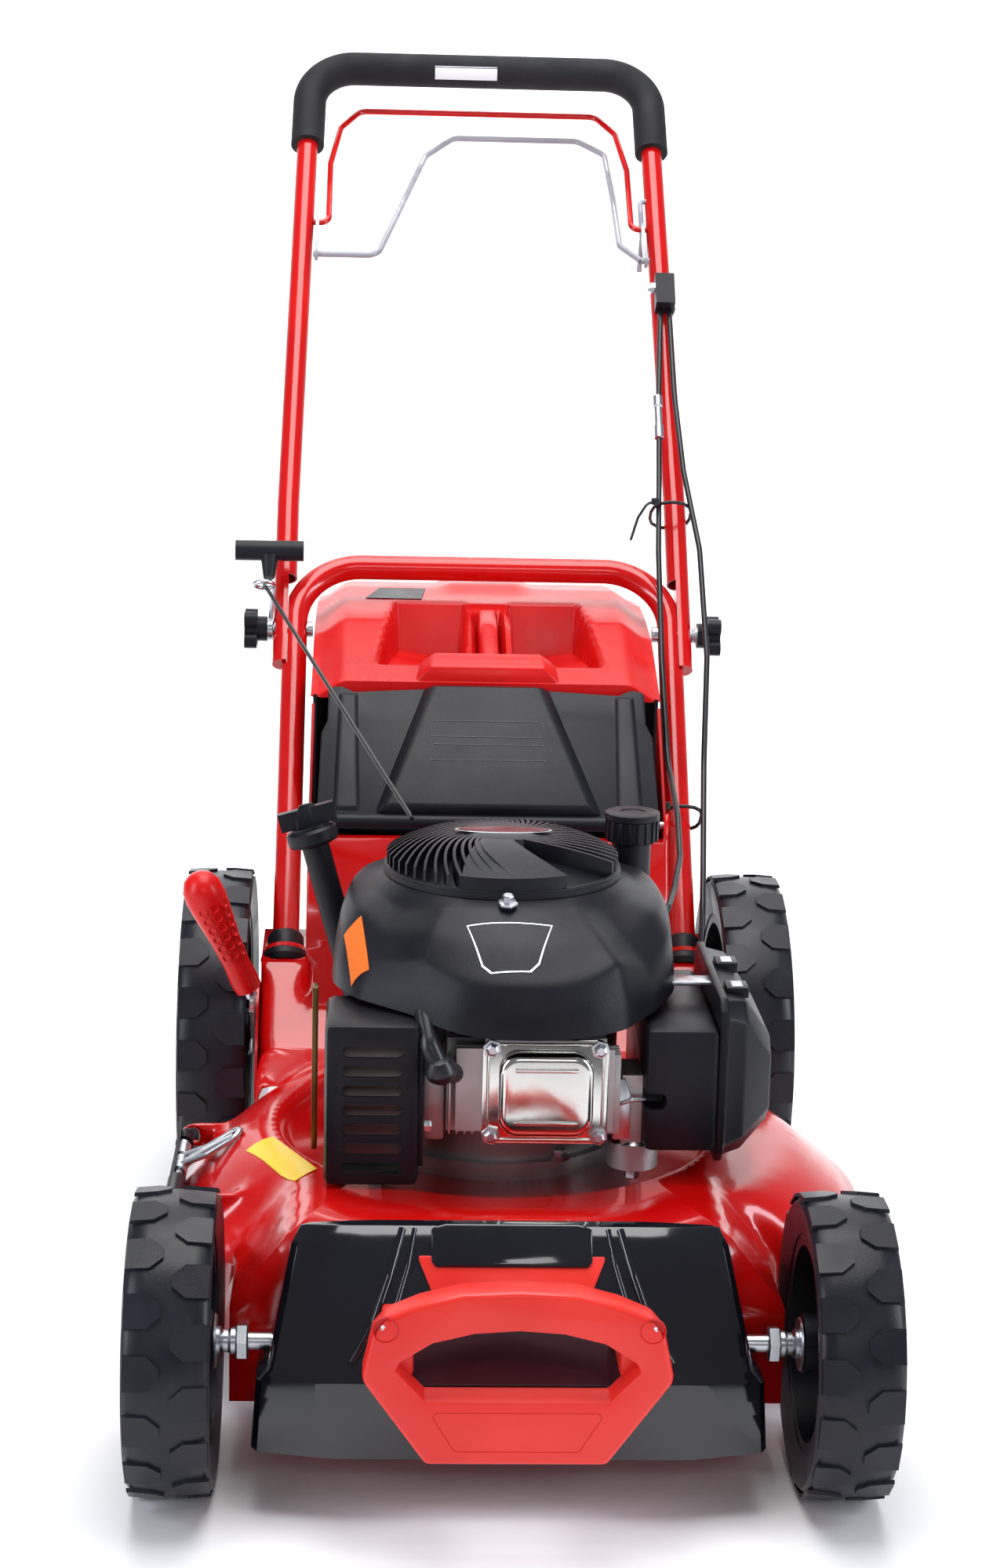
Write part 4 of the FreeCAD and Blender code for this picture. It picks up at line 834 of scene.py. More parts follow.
# %% [markdown]
# ## Recoil starter cover
# The starter's round cover is an open grille of thin curved fins that swirl from a solid cap
# out to the rim and turn down over its edge. Toward the front the fins stop at a smooth
# wedge. One fin is modelled about the axis and the turning tree sweeps it round, so the number
# of fins and the gap for the wedge are two numbers.

# %% One swirling fin
def fin(name, inner, outer, swirl, top_in, top_out, low, thick):
    """A thin curved wall from the cap to the rim and down the side, about the Z axis."""
    steps = 9
    spine = []
    for k in range(steps + 1):
        t = k / steps
        r = inner + (outer - inner) * t
        a = math.radians(swirl) * t * (1.15 - 0.15 * t)
        top = top_in + (top_out - top_in) * t ** 2.2
        spine.append((r, a, top))
    verts, faces = [], []
    for r, a, top in spine:
        for side in (-1, 1):
            for z in (top, low):
                b = a + side * thick / 2 / r
                verts.append((r * math.cos(b), r * math.sin(b), z))
    for k in range(steps):
        p = 4 * k
        faces += [(p, p + 4, p + 6, p + 2), (p, p + 1, p + 5, p + 4), (p + 2, p + 6, p + 7, p + 3),
                  (p + 1, p + 3, p + 7, p + 5)]
    faces += [(0, 2, 3, 1), (4 * steps, 4 * steps + 1, 4 * steps + 3, 4 * steps + 2)]
    return piece(name, verts, faces, "black_moulding", 30)


def recoil_top(r):
    """Height of the grille's domed top at a radius."""
    return 393.2 - 15.5 * (r / 84.0) ** 2.4


swirl_fins = fin("swirl_fins", 26, 84.6, 40, recoil_top(26), recoil_top(84.6), 361.5, 2.6)
turned_copies(swirl_fins, 44, (0, 0, 0), sweep=304, first=-62 - 0)
inner_bowl = lathe("inner_bowl", [(0, 384), (30, 383), (62, 374), (82, 366), (83.4, 361), (86.5, 360.6),
                                  (86.8, 366.5), (85.2, 367), (84.4, 363), (82, 364), (60, 371), (0, 380),
                                  (0, 384)], (0, 0, 0), (0, 0, 1), "black_moulding", 96)
ring_band = lathe("ring_band", [(83.6, 361), (86.4, 361), (86.2, 368.5), (84.2, 369), (83.6, 361)],
                  (0, 0, 0), (0, 0, 1), "black_moulding", 96)
cap = lathe("cap", [(0, 394), (24, 393.6), (29.5, 392.2), (30.5, 389), (30.5, 380), (0, 380)],
            (0, 0, 0), (0, 0, 1), "black_moulding", 64)
wedge_faces, wedge_verts = [], []
steps_r, steps_a = 8, 14
for i in range(steps_r + 1):
    r = 24 + (85.3 - 24) * i / steps_r
    for k in range(steps_a + 1):
        spread = 1 - 0.16 * (1 - i / steps_r)
        a = math.radians(-90 + (k / steps_a - 0.5) * 52 * spread + 4 - 16 * (1 - i / steps_r))
        wedge_verts.append((r * math.cos(a), r * math.sin(a), recoil_top(r) + 0.5))
for i in range(steps_r):
    for k in range(steps_a):
        p = i * (steps_a + 1) + k
        wedge_faces.append((p, p + steps_a + 1, p + steps_a + 2, p + 1))
rim_start = steps_r * (steps_a + 1)
for k in range(steps_a + 1):
    x, y, z = wedge_verts[rim_start + k]
    wedge_verts.append((x * 1.004, y * 1.004, 361.5))
for k in range(steps_a):
    p, q = rim_start + k, rim_start + steps_a + 1 + k
    wedge_faces.append((p, q, q + 1, p + 1))
wedge = piece("front_wedge", wedge_verts, wedge_faces, "black_moulding", 40)
thick = wedge.modifiers.new("thick", "SOLIDIFY")
thick.thickness = 2.0 * MM
thick.offset = -1
bake(wedge, 40)
lens_line = [(34 * math.cos(a), 9 * math.sin(a) * (1 if abs(math.cos(a)) < 0.97 else 0.6))
             for a in (2 * math.pi * k / 32 for k in range(32))]
lens_rim = plate("lens_rim", [(x * 1.05, y * 1.10) for x, y in lens_line], (0, -4, 393.6), (1, 0, 0),
                 (0, 1, 0), 0.5, "badge_silver", 0.15, 1)
lens = plate("lens", lens_line, (0, -4, 393.8), (1, 0, 0), (0, 1, 0), 0.6, "gloss_black", 0.15, 1)
grille = join("recoil_grille", swirl_fins, inner_bowl, ring_band, cap, wedge, lens_rim, lens)
ride(grille, "chassis")
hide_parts("recoil_cover")
print("grille faces", len(grille.data.polygons))

# %% [markdown]
# ## Valve cover, plug boot and exhaust guard
# The pressed valve cover is the brightest thing on the machine. It is a thin plate with four
# corner bolts, a raised square dome with generous corners, and two pressed bars. Wide bevels
# matter more than detail here, because chrome only shows what its curves reflect.

# %% Pressed valve cover with its bolts
low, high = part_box("valve_cover")
bore = ((low.x + high.x) * 500, (low.z + high.z) * 500)
FRONT = dict(across=(1, 0, 0), up=(0, 0, 1))
back_plate = plate("back_plate", rounded(88, 76, 8), (bore[0], -136.2, bore[1]), thick=3.5,
                   material="pressed_chrome", edge=1.2, **FRONT)
dome = plate("dome", rounded(66, 60, 14, 6), (bore[0], -139.5, bore[1] + 1), thick=14,
             material="pressed_chrome", edge=5.5, steps=5, **FRONT)
ridge = bar("pressed_ridge", [(bore[0] + x, -139.8, bore[1] + z) for x, z in rounded(80, 69, 9)], 2.2, 1,
            "pressed_chrome", closed=True)
pressed = [plate("pressed_bar", rounded(44, 3.2, 1.5), (bore[0], -153.2, bore[1] + z), thick=1.3,
                 material="pressed_chrome", edge=0.5, **FRONT) for z in (-18, 20)]
bolts = [lathe("cover_bolt", [(0, 6), (3, 6), (4.6, 5), (4.8, 2.4), (6.6, 2.2), (6.8, 0.2), (0, 0)],
               (bore[0] + sx * 37.5, -139.6, bore[1] + sz * 31.5), (0, -1, 0), "zinc_steel", 6, 20)
         for sx in (-1, 1) for sz in (-1, 1)]
cover = join("pressed_valve_cover", back_plate, dome, ridge, *pressed, *bolts)
ride(cover, "chassis")
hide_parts("valve_cover")
print("valve cover faces", len(cover.data.polygons))

# %% Rubber plug boot and its lead
boot = bar("rubber_boot", [(-58, -128, 292), (-54, -146, 274), (-46, -151, 257), (-36, -132, 250),
                           (-34, -112, 250)], 15, 12, "cable_sheath")
bulb = lathe("boot_bulb", [(0, -9), (6, -8), (10, -4), (11.5, 1), (10, 6), (7.6, 10), (0, 11)],
             (-46, -150, 257), (-0.2, -0.3, 1), "cable_sheath", 24)
boot = join("plug_boot_and_lead", boot, bulb)
ride(boot, "chassis")
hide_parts("plug_boot")
print("boot box", [tuple(round(c, 3) for c in corner) for corner in boot.bound_box][:1])


# %% [markdown]
# The exhaust guard is a hollow pressed box with seven slots. A Boolean modifier is the
# plainest tool for a real opening: one cutter hollows the box, a second one holds all slots.

# %% Exhaust guard cut from a rounded box
def carve(made, cutter):
    tool = made.modifiers.new("carve", "BOOLEAN")
    tool.operation, tool.solver, tool.object = "DIFFERENCE", "EXACT", cutter
    bake(made, 35)
    bpy.data.objects.remove(cutter)
    return made


guard = box_of("slotted_guard", (-126, -150, 172), (-60, -73, 289), "gloss_black", 6)
carve(guard, box_of("hollow", (-123, -147.5, 175), (-63, -60, 286.5), "gloss_black", 3))
slots = [plate("slot", rounded(42, 8.4, 4.1), (-93, -144, 186 + 14 * k), thick=12, material="gloss_black",
               **FRONT) for k in range(7)]
carve(guard, join("slots", *slots))
dress(guard, finishes["black_moulding"])
flange = box_of("guard_flange", (-61, -146, 186), (-57, -100, 284), "black_moulding", 1.5)
nuts = [lathe("guard_nut", [(0, 5), (3.6, 5), (4.2, 4), (4.2, 0), (0, 0)], (-56.5, -140, z), (1, 0, 0),
              "zinc_steel", 6, 20) for z in (214, 262)]
guard = join("slotted_exhaust_guard", guard, flange, *nuts)
ride(guard, "chassis")
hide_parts("muffler_guard")
print("guard faces", len(guard.data.polygons))

# %% [markdown]
# ## Rows of thin fins and the engine's mounting ring
# Cooling fins are one thin plate repeated along a line, so they get a fourth tree that steps
# copies by a vector. The machined ring that bolts the engine down gets its bolts the same way.

# %% Copies along a line
rows, given, end = new_tree("row_copies", [("Count", "Int", 5), ("Step", "Vector", None),
                                           ("Material", "Material", None)])
stations = add(rows, "GeometryNodeMeshLine", {"mode": "OFFSET"}, Count=given.outputs["Count"],
               Offset=given.outputs["Step"])
placed = add(rows, "GeometryNodeInstanceOnPoints", Points=stations.outputs[0],
             Instance=given.outputs["Geometry"])
close(rows, given, end, placed.outputs[0])


def row_copies(made, count, step):
    run(rows, made, Count=count, Step=[c * MM for c in step], Material=made.data.materials[0])
    made.data.set_sharp_from_angle(angle=math.radians(35))
    return made


fins = row_copies(box_of("barrel_fins", (-40, -134, 206), (-38.2, -92, 262), "cast_alloy", 0.5), 4,
                  (5.4, 0, 0))
side_fins = row_copies(box_of("side_fins", (72, -131, 206), (80, -129.4, 264), "cast_alloy", 0.5), 4,
                       (0, 7, 0))
shroud = box_of("alloy_shroud", (-60, -120, 196), (-42, -92, 262), "cast_alloy", 3)
ring_bolts = turned_copies(lathe("ring_bolts", [(0, 8), (4.4, 8), (5.2, 7), (5.2, 3), (8, 2.8), (8, 0),
                                                (0, 0)], (90, 0, 0), (0, 0, 1), "zinc_steel", 6, 20), 4,
                           (0, 0, 169), first=-62)
engine_trim = join("engine_fins_and_bolts", fins, side_fins, shroud, ring_bolts)
ride(engine_trim, "chassis")
print("engine trim faces", len(engine_trim.data.polygons))

# %% [markdown]
# ## Air filter cover
# The filter cover on the left is a faceted black lid: a flat flange, then walls that lean in
# to a smaller outer face with clipped corners. Rings of eight corners describe it, skinned
# from one to the next, and a bevel softens the facets. Two clips sit on its top edge.

# %% Faceted lid from clipped rectangles
def clipped(x, y0, y1, z0, z1, c):
    return [(x, y, z) for y, z in ((y0 + c, z0), (y1 - c, z0), (y1, z0 + c), (y1, z1 - c), (y1 - c, z1),
                                   (y0 + c, z1), (y0, z1 - c), (y0, z0 + c))]


def skinned(name, rings, material, edge):
    """Join rings of equal length into a closed skin with flat ends."""
    count = len(rings[0])
    verts = [v for ring in rings for v in ring]
    faces = [tuple(range(count)), tuple(range(len(verts) - count, len(verts)))[::-1]]
    for r in range(len(rings) - 1):
        for i in range(count):
            j = (i + 1) % count
            faces.append((r * count + i, r * count + j, (r + 1) * count + j, (r + 1) * count + i))
    return soften(piece(name, verts, faces, material, 0), edge)


filter_lid = skinned("faceted_lid", [clipped(148.2, -130, 36, 183, 303, 9),
                                     clipped(154, -130, 36, 183, 303, 9),
                                     clipped(154.1, -127, 33, 186, 300, 10),
                                     clipped(168, -124, 30, 189, 298, 13),
                                     clipped(188.5, -106, 12, 206, 268, 12)], "black_moulding", 1.6)
clips = [box_of("lid_clip", (156, y, 296), (172, y + 20, 303.5), "black_moulding", 1) for y in (-98, -34)]
clip_slots = [box_of("clip_slot", (160, y + 3, 303), (168, y + 17, 304), "zinc_steel", 0.3)
              for y in (-98, -34)]
filter_lid = join("faceted_filter_lid", filter_lid, *clips, *clip_slots)
ride(filter_lid, "air_door")
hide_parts("air_cover")
case = box_of("filter_case", (97, -138, 195), (147.4, 20, 284), "gloss_black", 5)
notch = box_of("case_notch", (90, -150, 226), (112, -120, 238), "gloss_black", 4)
carve(case, notch)
dress(case, finishes["black_moulding"])
ride(case, "chassis")
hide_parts("air_box")
bowl = lathe("float_bowl", [(0, 0), (5, 0), (5, 4), (15, 6), (18, 10), (18.4, 24), (16, 26), (0, 26)],
             (92, -106, 171), (0, 0, 1), "pressed_chrome", 40)
bowl_nut = lathe("bowl_nut", [(0, -4), (5, -4), (5.8, -3), (5.8, 3), (0, 3)], (92, -106, 169), (0, 0, 1),
                 "zinc_steel", 6, 20)
bracket = plate("chrome_bracket", rounded(34, 18, 2), (135, -60, 296), across=(1, 0, 0), up=(0, 1, 0),
                thick=3, material="zinc_steel", edge=0.6)
throttle = bar("throttle_rod", [(76, -124, 224), (88, -128, 230), (98, -126, 230)], 3.2, 3, "zinc_steel")
governor = plate("governor_plate", [(-6, -22), (6, -22), (6, 10), (2, 22), (-6, 22)], (82, -124, 222),
                 thick=2, material="zinc_steel", edge=0.5, **FRONT)
fuel_side = join("carburettor_trim", bowl, bowl_nut, bracket, throttle, governor)
ride(fuel_side, "chassis")
print("filter lid faces", len(filter_lid.data.polygons))

# %% [markdown]
# ## Fuel cap, dipstick and the flat brass strip
# Caps are lathe work with a knurl: a turned disc, and small ribs swept round by the turning
# tree. The dipstick's cap has a flat wing to hold, and leans with its tube.

# %% Knurled caps
low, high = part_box("fuel_cap")
cap_at = ((low.x + high.x) * 500, (low.y + high.y) * 500, low.z * 1000)
cap_body = lathe("cap_body", [(0, 0), (18, 0), (19.5, 1.5), (19.5, 17), (21, 18), (21, 22.6), (19.4, 23.4),
                              (10, 23.2), (9.4, 22.4), (0, 22.2)], cap_at, (0, 0, 1), "black_moulding", 48)
knurl = turned_copies(box_of("knurl", (18.6, -1.4, 1), (20.6, 1.4, 17.4), "black_moulding", 0.5), 18,
                      cap_at)
fuel_top = join("knurled_fuel_cap", cap_body, knurl)
top_limit = max(v.co.z for v in fuel_top.data.vertices)
ride(fuel_top, "filler_cap")
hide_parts("fuel_cap")
lean = Vector((-math.sin(math.radians(16)), 0.05, math.cos(math.radians(16)))).normalized()
dip_at = Vector((-140, 80, 366))
dip_cap = lathe("dip_cap", [(0, -6), (12, -6), (18, -4), (19.5, -2), (19.5, 6), (17, 8), (0, 8)], dip_at,
                lean, "black_moulding", 40)
dip_wing = plate("dip_wing", [(-12, 0), (12, 0), (10, 12), (6, 20), (-4, 21), (-10, 14)],
                 dip_at + lean * 7 - Vector((0, 2, 0)), across=(0.9, 0.4, 0.25), up=lean, thick=4.5,
                 material="black_moulding", edge=1.4)
dip = join("dipstick_cap", dip_cap, dip_wing)
ride(dip, "oil_stick")
finish("brass_strip", (0.16, 0.09, 0.03), (0.24, 0.14, 0.05), (0.28, 0.36), ("noise", 300, 0.1, 0.0002),
       metallic=1.0)
strip = box_of("brass_strip", (-136, -84, 176), (-132, -70, 296), "brass_strip", 0.5)
ride(strip, "chassis")
print("cap top", round(top_limit, 4))

# %% [markdown]
# ## Gloss black front cover
# The front cover is a deep-gloss moulding with a sloping face, a stepped skirt and creased
# corners. It is drawn as a net of corner rows from the lower edge to the top, half of it, and
# mirrored by the list itself. Bevels on the net's edges give the long thin highlights.

# %% The cover as a net of rows
COVER_ROWS = [
    [(0, -308, 45), (62, -308, 45), (112, -308, 45), (131, -305, 45),
     (165, -297, 45), (169, -290, 45), (169, -238, 45)],
    [(0, -308, 97), (62, -308, 97), (112, -307, 97), (127, -303, 95),
     (162, -296, 93), (166, -289, 92), (166, -238, 92)],
    [(0, -302, 104), (62, -302, 104), (108, -302, 104), (124, -300, 103),
     (155, -295, 101), (159, -288, 100), (159, -238, 100)],
    [(0, -280, 140), (58, -280, 140), (100, -280, 140), (116, -279, 140),
     (147, -271, 139), (151, -264, 138), (151, -238, 138)],
    [(0, -259, 170), (55, -259, 170), (94, -259, 170), (110, -257, 170),
     (141, -250, 168), (145, -246, 168), (145, -238, 168)],
    [(0, -246, 181.5), (50, -246, 181.5), (90, -246, 181.5), (105, -245, 181),
     (135, -241, 180), (139, -240, 179), (139, -238, 179)],
    [(0, -238, 182.5), (50, -238, 182.5), (88, -238, 182.5), (103, -238, 182),
     (133, -238, 180.5), (138, -238, 179), (138, -237, 179)],
]
verts, faces = [], []
wide = 2 * len(COVER_ROWS[0]) - 1
for row in COVER_ROWS:
    verts += [(-x, y, z) for x, y, z in reversed(row[1:])] + row
for r in range(len(COVER_ROWS) - 1):
    for k in range(wide - 1):
        p = r * wide + k
        faces.append((p, p + 1, p + wide + 1, p + wide))
hood = piece("front_hood", verts, faces, "gloss_black", 0)
wall = hood.modifiers.new("wall", "SOLIDIFY")
wall.thickness, wall.offset = 2.5 * MM, -1
bake(hood, 0)
soften(hood, 2.2, 3, 30)


def on_slope(x, z, lift=0.0):
    """A point on the cover's sloping face at a height z."""
    steps = [(row[0][2], row[0][1]) for row in COVER_ROWS[2:6]]
    for (z0, y0), (z1, y1) in zip(steps, steps[1:]):
        if z <= z1:
            break
    y = y0 + (z - z0) * (y1 - y0) / (z1 - z0)
    return (x, y - 0.8 * lift, z + 0.6 * lift)


slope_up = (Vector(on_slope(0, 170)) - Vector(on_slope(0, 142))).normalized()
red_panel = plate("red_panel", [(-50, 0), (50, 0), (61, 27), (61, 30), (-61, 30), (-61, 27)],
                  on_slope(0, 142, -1.5), across=(1, 0, 0), up=slope_up, thick=3.2,
                  material="orange_plastic", edge=0.8)
inset = plate("black_inset", [(-50, 22), (50, 22), (53, 26), (53, 48), (44, 51), (-44, 51), (-53, 48),
                              (-53, 26)], on_slope(0, 142, -1.5), across=(1, 0, 0), up=slope_up, thick=5.2,
              material="gloss_black", edge=1.4)
INSET_LOOP = [(-46, 27), (46, 27), (48, 34), (34, 44), (-34, 44), (-48, 34)]
inset_line = bar("inset_line", [tuple(Vector(on_slope(x, 142, 2.9)) + slope_up * v) for x, v in INSET_LOOP],
                 1.2, 3, "zinc_steel", closed=True)
flutes = []
for sx in (-1, 1):
    flutes.append(bar("hood_flute", [on_slope(sx * x, z, 0.6) for x,
                                     z in ((72, 180), (80, 156), (90, 130), (104, 108))], 5.0, 8,
                      "gloss_black"))
    flutes.append(bar("hood_flute", [on_slope(sx * x, z, 0.4) for x,
                                     z in ((64, 180), (68, 162), (76, 138))], 3.4, 6, "gloss_black"))
ribs = [red_panel, inset, inset_line]
hood = join("gloss_front_hood", hood, *ribs, *flutes)
ride(hood, "chassis")
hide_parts("front_cover")
print("hood faces", len(hood.data.polygons))

# %% [markdown]
# ## Carrying bumper
# The bumper is a thick satin moulding that doubles as a carrying handle. Its outline and its
# hand slot are two loops, a Boolean opens the slot, and a broad bevel rounds every edge the
# way a moulding is rounded. A shallow framed panel and two sunk screws finish it.

# %% Bumper with hand slot, panel and screws
ARCH = [(-57, 70.5), (57, 70.5), (97, 126), (97, 131), (91, 158), (83, 168), (62, 177), (36, 184),
        (0, 185.8), (-36, 184), (-62, 177), (-83, 168), (-91, 158), (-97, 131), (-97, 126)]
SLOT = [(-58, 113), (58, 113), (77, 133), (74, 139), (54, 152), (28, 158.5), (0, 160.5), (-28, 158.5),
        (-54, 152), (-74, 139), (-77, 133)]
arch = plate("arch", ARCH, (0, -346, 0), thick=23.6, material="orange_plastic", edge=3.5, steps=3, **FRONT)
carve(arch, plate("hand_slot", SLOT, (0, -330, 0), thick=60, material="orange_plastic", **FRONT))
soften(arch, 1.6, 2, 40)
arms = [box_of("bumper_arm", (x - 10, -350, 121), (x + 10, -285, 144), "orange_plastic", 3) for x in (-75,
                                                                                                      75)]
frame_line = [(-55, 106), (55, 106), (39, 80), (-39, 80)]
panel_line = bar("panel_line", [(x, -369.0, z) for x, z in frame_line], 1.4, 3, "red_plastic", closed=True)
screws = []
for sx in (-1, 1):
    screws.append(lathe("screw_well", [(0, -3), (6.4, -3), (7.4, 0.4), (8.2, 0.6), (8.2, -1), (0, -3)],
                        (sx * 83, -369.2, 161), (0, -1, 0), "red_plastic", 28))
    screws.append(lathe("screw_head", [(0, 1.4), (2.6, 1.2), (3.6, 0), (0, 0)], (sx * 83, -368.2, 161),
                        (0, -1, 0), "zinc_steel", 16))
bumper = join("carrying_bumper", arch, panel_line, *arms, *screws)
ride(bumper, "chassis")
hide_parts("front_bumper")
print("bumper faces", len(bumper.data.polygons))

# %% [markdown]
# ## Side discharge flap
# The flap over the side outlet is a black leaf with a lattice of raised diagonals, hung on a
# steel rod with two coil springs that hold it shut. The leaf is a curved skin; the lattice is
# a set of lines laid on that same curve and fed to the bar tree in one go, and the spring tree
# makes the coils. The leaf and its lattice swing, the springs and their bracket stay.

# %% Curved leaf with a lattice
def leaf_at(y, s, lift=0.0):
    """A point on the flap's outer face: y along the hinge, s from the hinge down."""
    out = 237.5 + 5 * s + 16.5 * s * s
    return (-out - 0.9 * lift, y, 145 - 87 * s + 0.4 * lift)


steps_y, steps_s = 16, 8
verts, faces = [], []
for i in range(steps_s + 1):
    for k in range(steps_y + 1):
        narrow = 1 - 0.10 * max(0, i / steps_s - 0.7) / 0.3
        y = -24 + (k / steps_y - 0.5) * 140 * narrow
        rise = 10 * max(0, k / steps_y - 0.8) / 0.2 * (1 - i / steps_s)
        x, y, z = leaf_at(y, i / steps_s)
        verts.append((x, y, z + rise))
for i in range(steps_s):
    for k in range(steps_y):
        p = i * (steps_y + 1) + k
        faces.append((p, p + 1, p + steps_y + 2, p + steps_y + 1))
leaf = piece("leaf", verts, faces, "black_moulding", 40)
wall = leaf.modifiers.new("wall", "SOLIDIFY")
wall.thickness, wall.offset = 2.6 * MM, 0
bake(leaf, 40)
lattice_verts, lattice_edges = [], []
for lean_way in (-1, 1):
    for k in range(-4, 10):
        line = []
        for i in range(7):
            s = 0.32 + 0.64 * i / 6
            y = -92 + 15.5 * k + lean_way * (s - 0.64) * 66
            if -90 < y < 42:
                line.append(leaf_at(y, s, 1.8))
        if len(line) > 1:
            first = len(lattice_verts)
            lattice_verts += line
            lattice_edges += [(first + i, first + i + 1) for i in range(len(line) - 1)]
mesh = bpy.data.meshes.new("lattice")
mesh.from_pydata([tuple(c * MM for c in v) for v in lattice_verts], lattice_edges, [])
lattice = bpy.data.objects.new("lattice", mesh)
bpy.context.scene.collection.objects.link(lattice)
run(bars, lattice, Diameter=2.6 * MM, Bend=0.0005, Material=finishes["black_moulding"])
lattice.data.shade_smooth()
barrels = [lathe("hinge_eye", [(3.7, 0), (6.6, 0.3), (6.6, long - 0.3), (3.7, long), (3.7, 0)],
                 (-234, start, 139), (0, 1, 0), "black_moulding", 24) for start,
           long in ((-94, 44), (28, 18))]
door = join("lattice_flap", leaf, lattice, *barrels)
ride(door, "chute_door")
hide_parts("side_flap")
print("flap faces", len(door.data.polygons))

# %% Springs and bracket loop
coil_a = spring("coil_a", 11, 26, 5.2, 1.5, (-234, 24, 139), (90, 0, 0))
coil_b = spring("coil_b", 11, 26, 5.2, 1.5, (-234, -8, 139), (90, 0, 0))
loop = bar("bracket_loop", [(-232, -8, 143), (-214, -8, 150), (-194, -8, 163), (-188, -16, 167),
                            (-194, -26, 163), (-214, -26, 150), (-232, -26, 143)], 4.6, 7, "zinc_steel")
tongue = plate("bracket_tongue", rounded(40, 10, 4), (-212, -17, 152.5), across=(0.86, 0, 0.5),
               up=(0, 1, 0), thick=1.6, material="zinc_steel", edge=0.5)
strap = plate("bracket_strap", rounded(14, 78, 3), (-231.5, -9, 128), across=(0.45, 0, 0.9), up=(0, 1, 0),
              thick=2, material="zinc_steel", edge=0.5)
springs = join("flap_springs", coil_a, coil_b, loop, tongue, strap)
ride(springs, "chassis")
print("spring faces", len(springs.data.polygons))

# %% [markdown]
# ## Rear flap and grass box lid
# The rear flap is a stiff black sheet with a raised tapering box in its middle. It lies on a
# slope, so every outline is drawn flat, in distances up the slope, and set on that slope.

# %% Rear flap on its slope
low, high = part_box("rear_flap")
SLOPE = math.radians(43)
flap_up = Vector((0, math.cos(SLOPE), math.sin(SLOPE)))
flap_out = Vector((0, -math.sin(SLOPE), math.cos(SLOPE)))
HINGE = Vector((0, 250, 340))


def on_flap(half_low, half_high, reach_low, reach_high, height):
    return [tuple(HINGE + Vector((x, 0, 0)) + flap_up * r + flap_out * height) for x,
            r in ((-half_low, reach_low), (half_low, reach_low), (half_high, reach_high),
                  (-half_high, reach_high))]


sheet_line = [(-141, 0), (141, 0), (139, 88), (134, 102), (134, 132), (131, 136), (122, 136.5), (112, 131),
              (54, 135), (-54, 135), (-112, 131), (-122, 136.5), (-131, 136), (-134, 132), (-134, 102),
              (-139, 88)]
sheet = plate("flap_sheet", sheet_line, HINGE - flap_out * 2, across=(1, 0, 0), up=flap_up, thick=4,
              material="black_moulding", edge=1.2)
raised = skinned("raised_box", [on_flap(96, 54, 5, 136.6, 1), on_flap(84, 44, 10, 134, 9.5)],
                 "black_moulding", 3.0)
flutes = [skinned("side_flute", [on_flap(12, 9, 8, 130, 1.5), on_flap(8, 5, 12, 126, 4)], "black_moulding",
                  1.5) for sx in (-1, 1)]
for sx, flute in zip((-1, 1), flutes):
    flute.data.transform(Matrix.Translation((sx * 0.117, 0, 0)))
frames = [bar("frame_line", [tuple(HINGE + Vector((x, 0, 0)) + flap_up * r + flap_out * 9.4) for x,
                             r in ((-48, low_r), (48, low_r), (46, low_r + 16), (-46, low_r + 16))], 0.9, 1,
              "gloss_black", closed=True) for low_r in (56, 80)]
barrel = lathe("flap_barrel", [(3.2, 0), (6, 0.4), (6, 281.6), (3.2, 282), (3.2, 0)],
               tuple(HINGE - Vector((141, 0, 0))), (1, 0, 0), "black_moulding", 24)
pin = lathe("flap_pin", [(0, 0), (3, 0), (3, 296), (0, 296)], tuple(HINGE - Vector((148, 0, 0))), (1, 0, 0),
            "zinc_steel", 16)
rear = join("raised_rear_flap", sheet, raised, *flutes, *frames, barrel, pin)
ride(rear, "flap")
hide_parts("rear_flap")
print("rear flap faces", len(rear.data.polygons))

# %% [markdown]
# The lid of the grass box is the kind of shape a rule describes well. Its height is a profile
# from front to back, rounded down at both sides, with a hand recess sunk into it and a slotted
# bridge left standing across the recess. We evaluate that rule on a fine grid.

# %% Lid from a height rule
LID_LINE = [(353, 437), (380, 448), (413, 461), (448, 474), (500, 483), (553, 488), (620, 483), (700, 471),
            (790, 455), (836, 443), (848, 424)]


def between(t, a, b):
    """Smoothly 0 before a and 1 after b."""
    u = min(1.0, max(0.0, (t - a) / (b - a)))
    return u * u * (3 - 2 * u)


def lid_height(x, y):
    for (y0, z0), (y1, z1) in zip(LID_LINE, LID_LINE[1:]):
        if y <= y1:
            z = z0 + (z1 - z0) * (y - y0) / (y1 - y0)
            break
    else:
        z = LID_LINE[-1][1]
    z -= 14 * between(abs(x), 118, 147)
    z += 5 * between(y, 520, 560) * (1 - between(abs(x - 4), 26, 48))
    half = 100 - (y - 374) * 0.14
    well = between(y, 376, 386) * (1 - between(y, 486, 500)) * (1 - between(abs(x - 4), half - 5, half + 2))
    bridge = 1 - between(abs(x - 4), 17, 21)
    floor = 429 + 0.05 * (y - 374) + 10 * (abs(x - 4) / 96) ** 2
    sunk = z + (min(z, floor) - z) * well
    deck = z - 3 if well > 0.5 else z
    groove = (1 - between(abs(abs(x - 4) - 10), 2.5, 4.5)) * between(y, 388,
                                                                     396) * (1 - between(y, 480, 488))
    return sunk + (deck - 18 * groove - sunk) * bridge


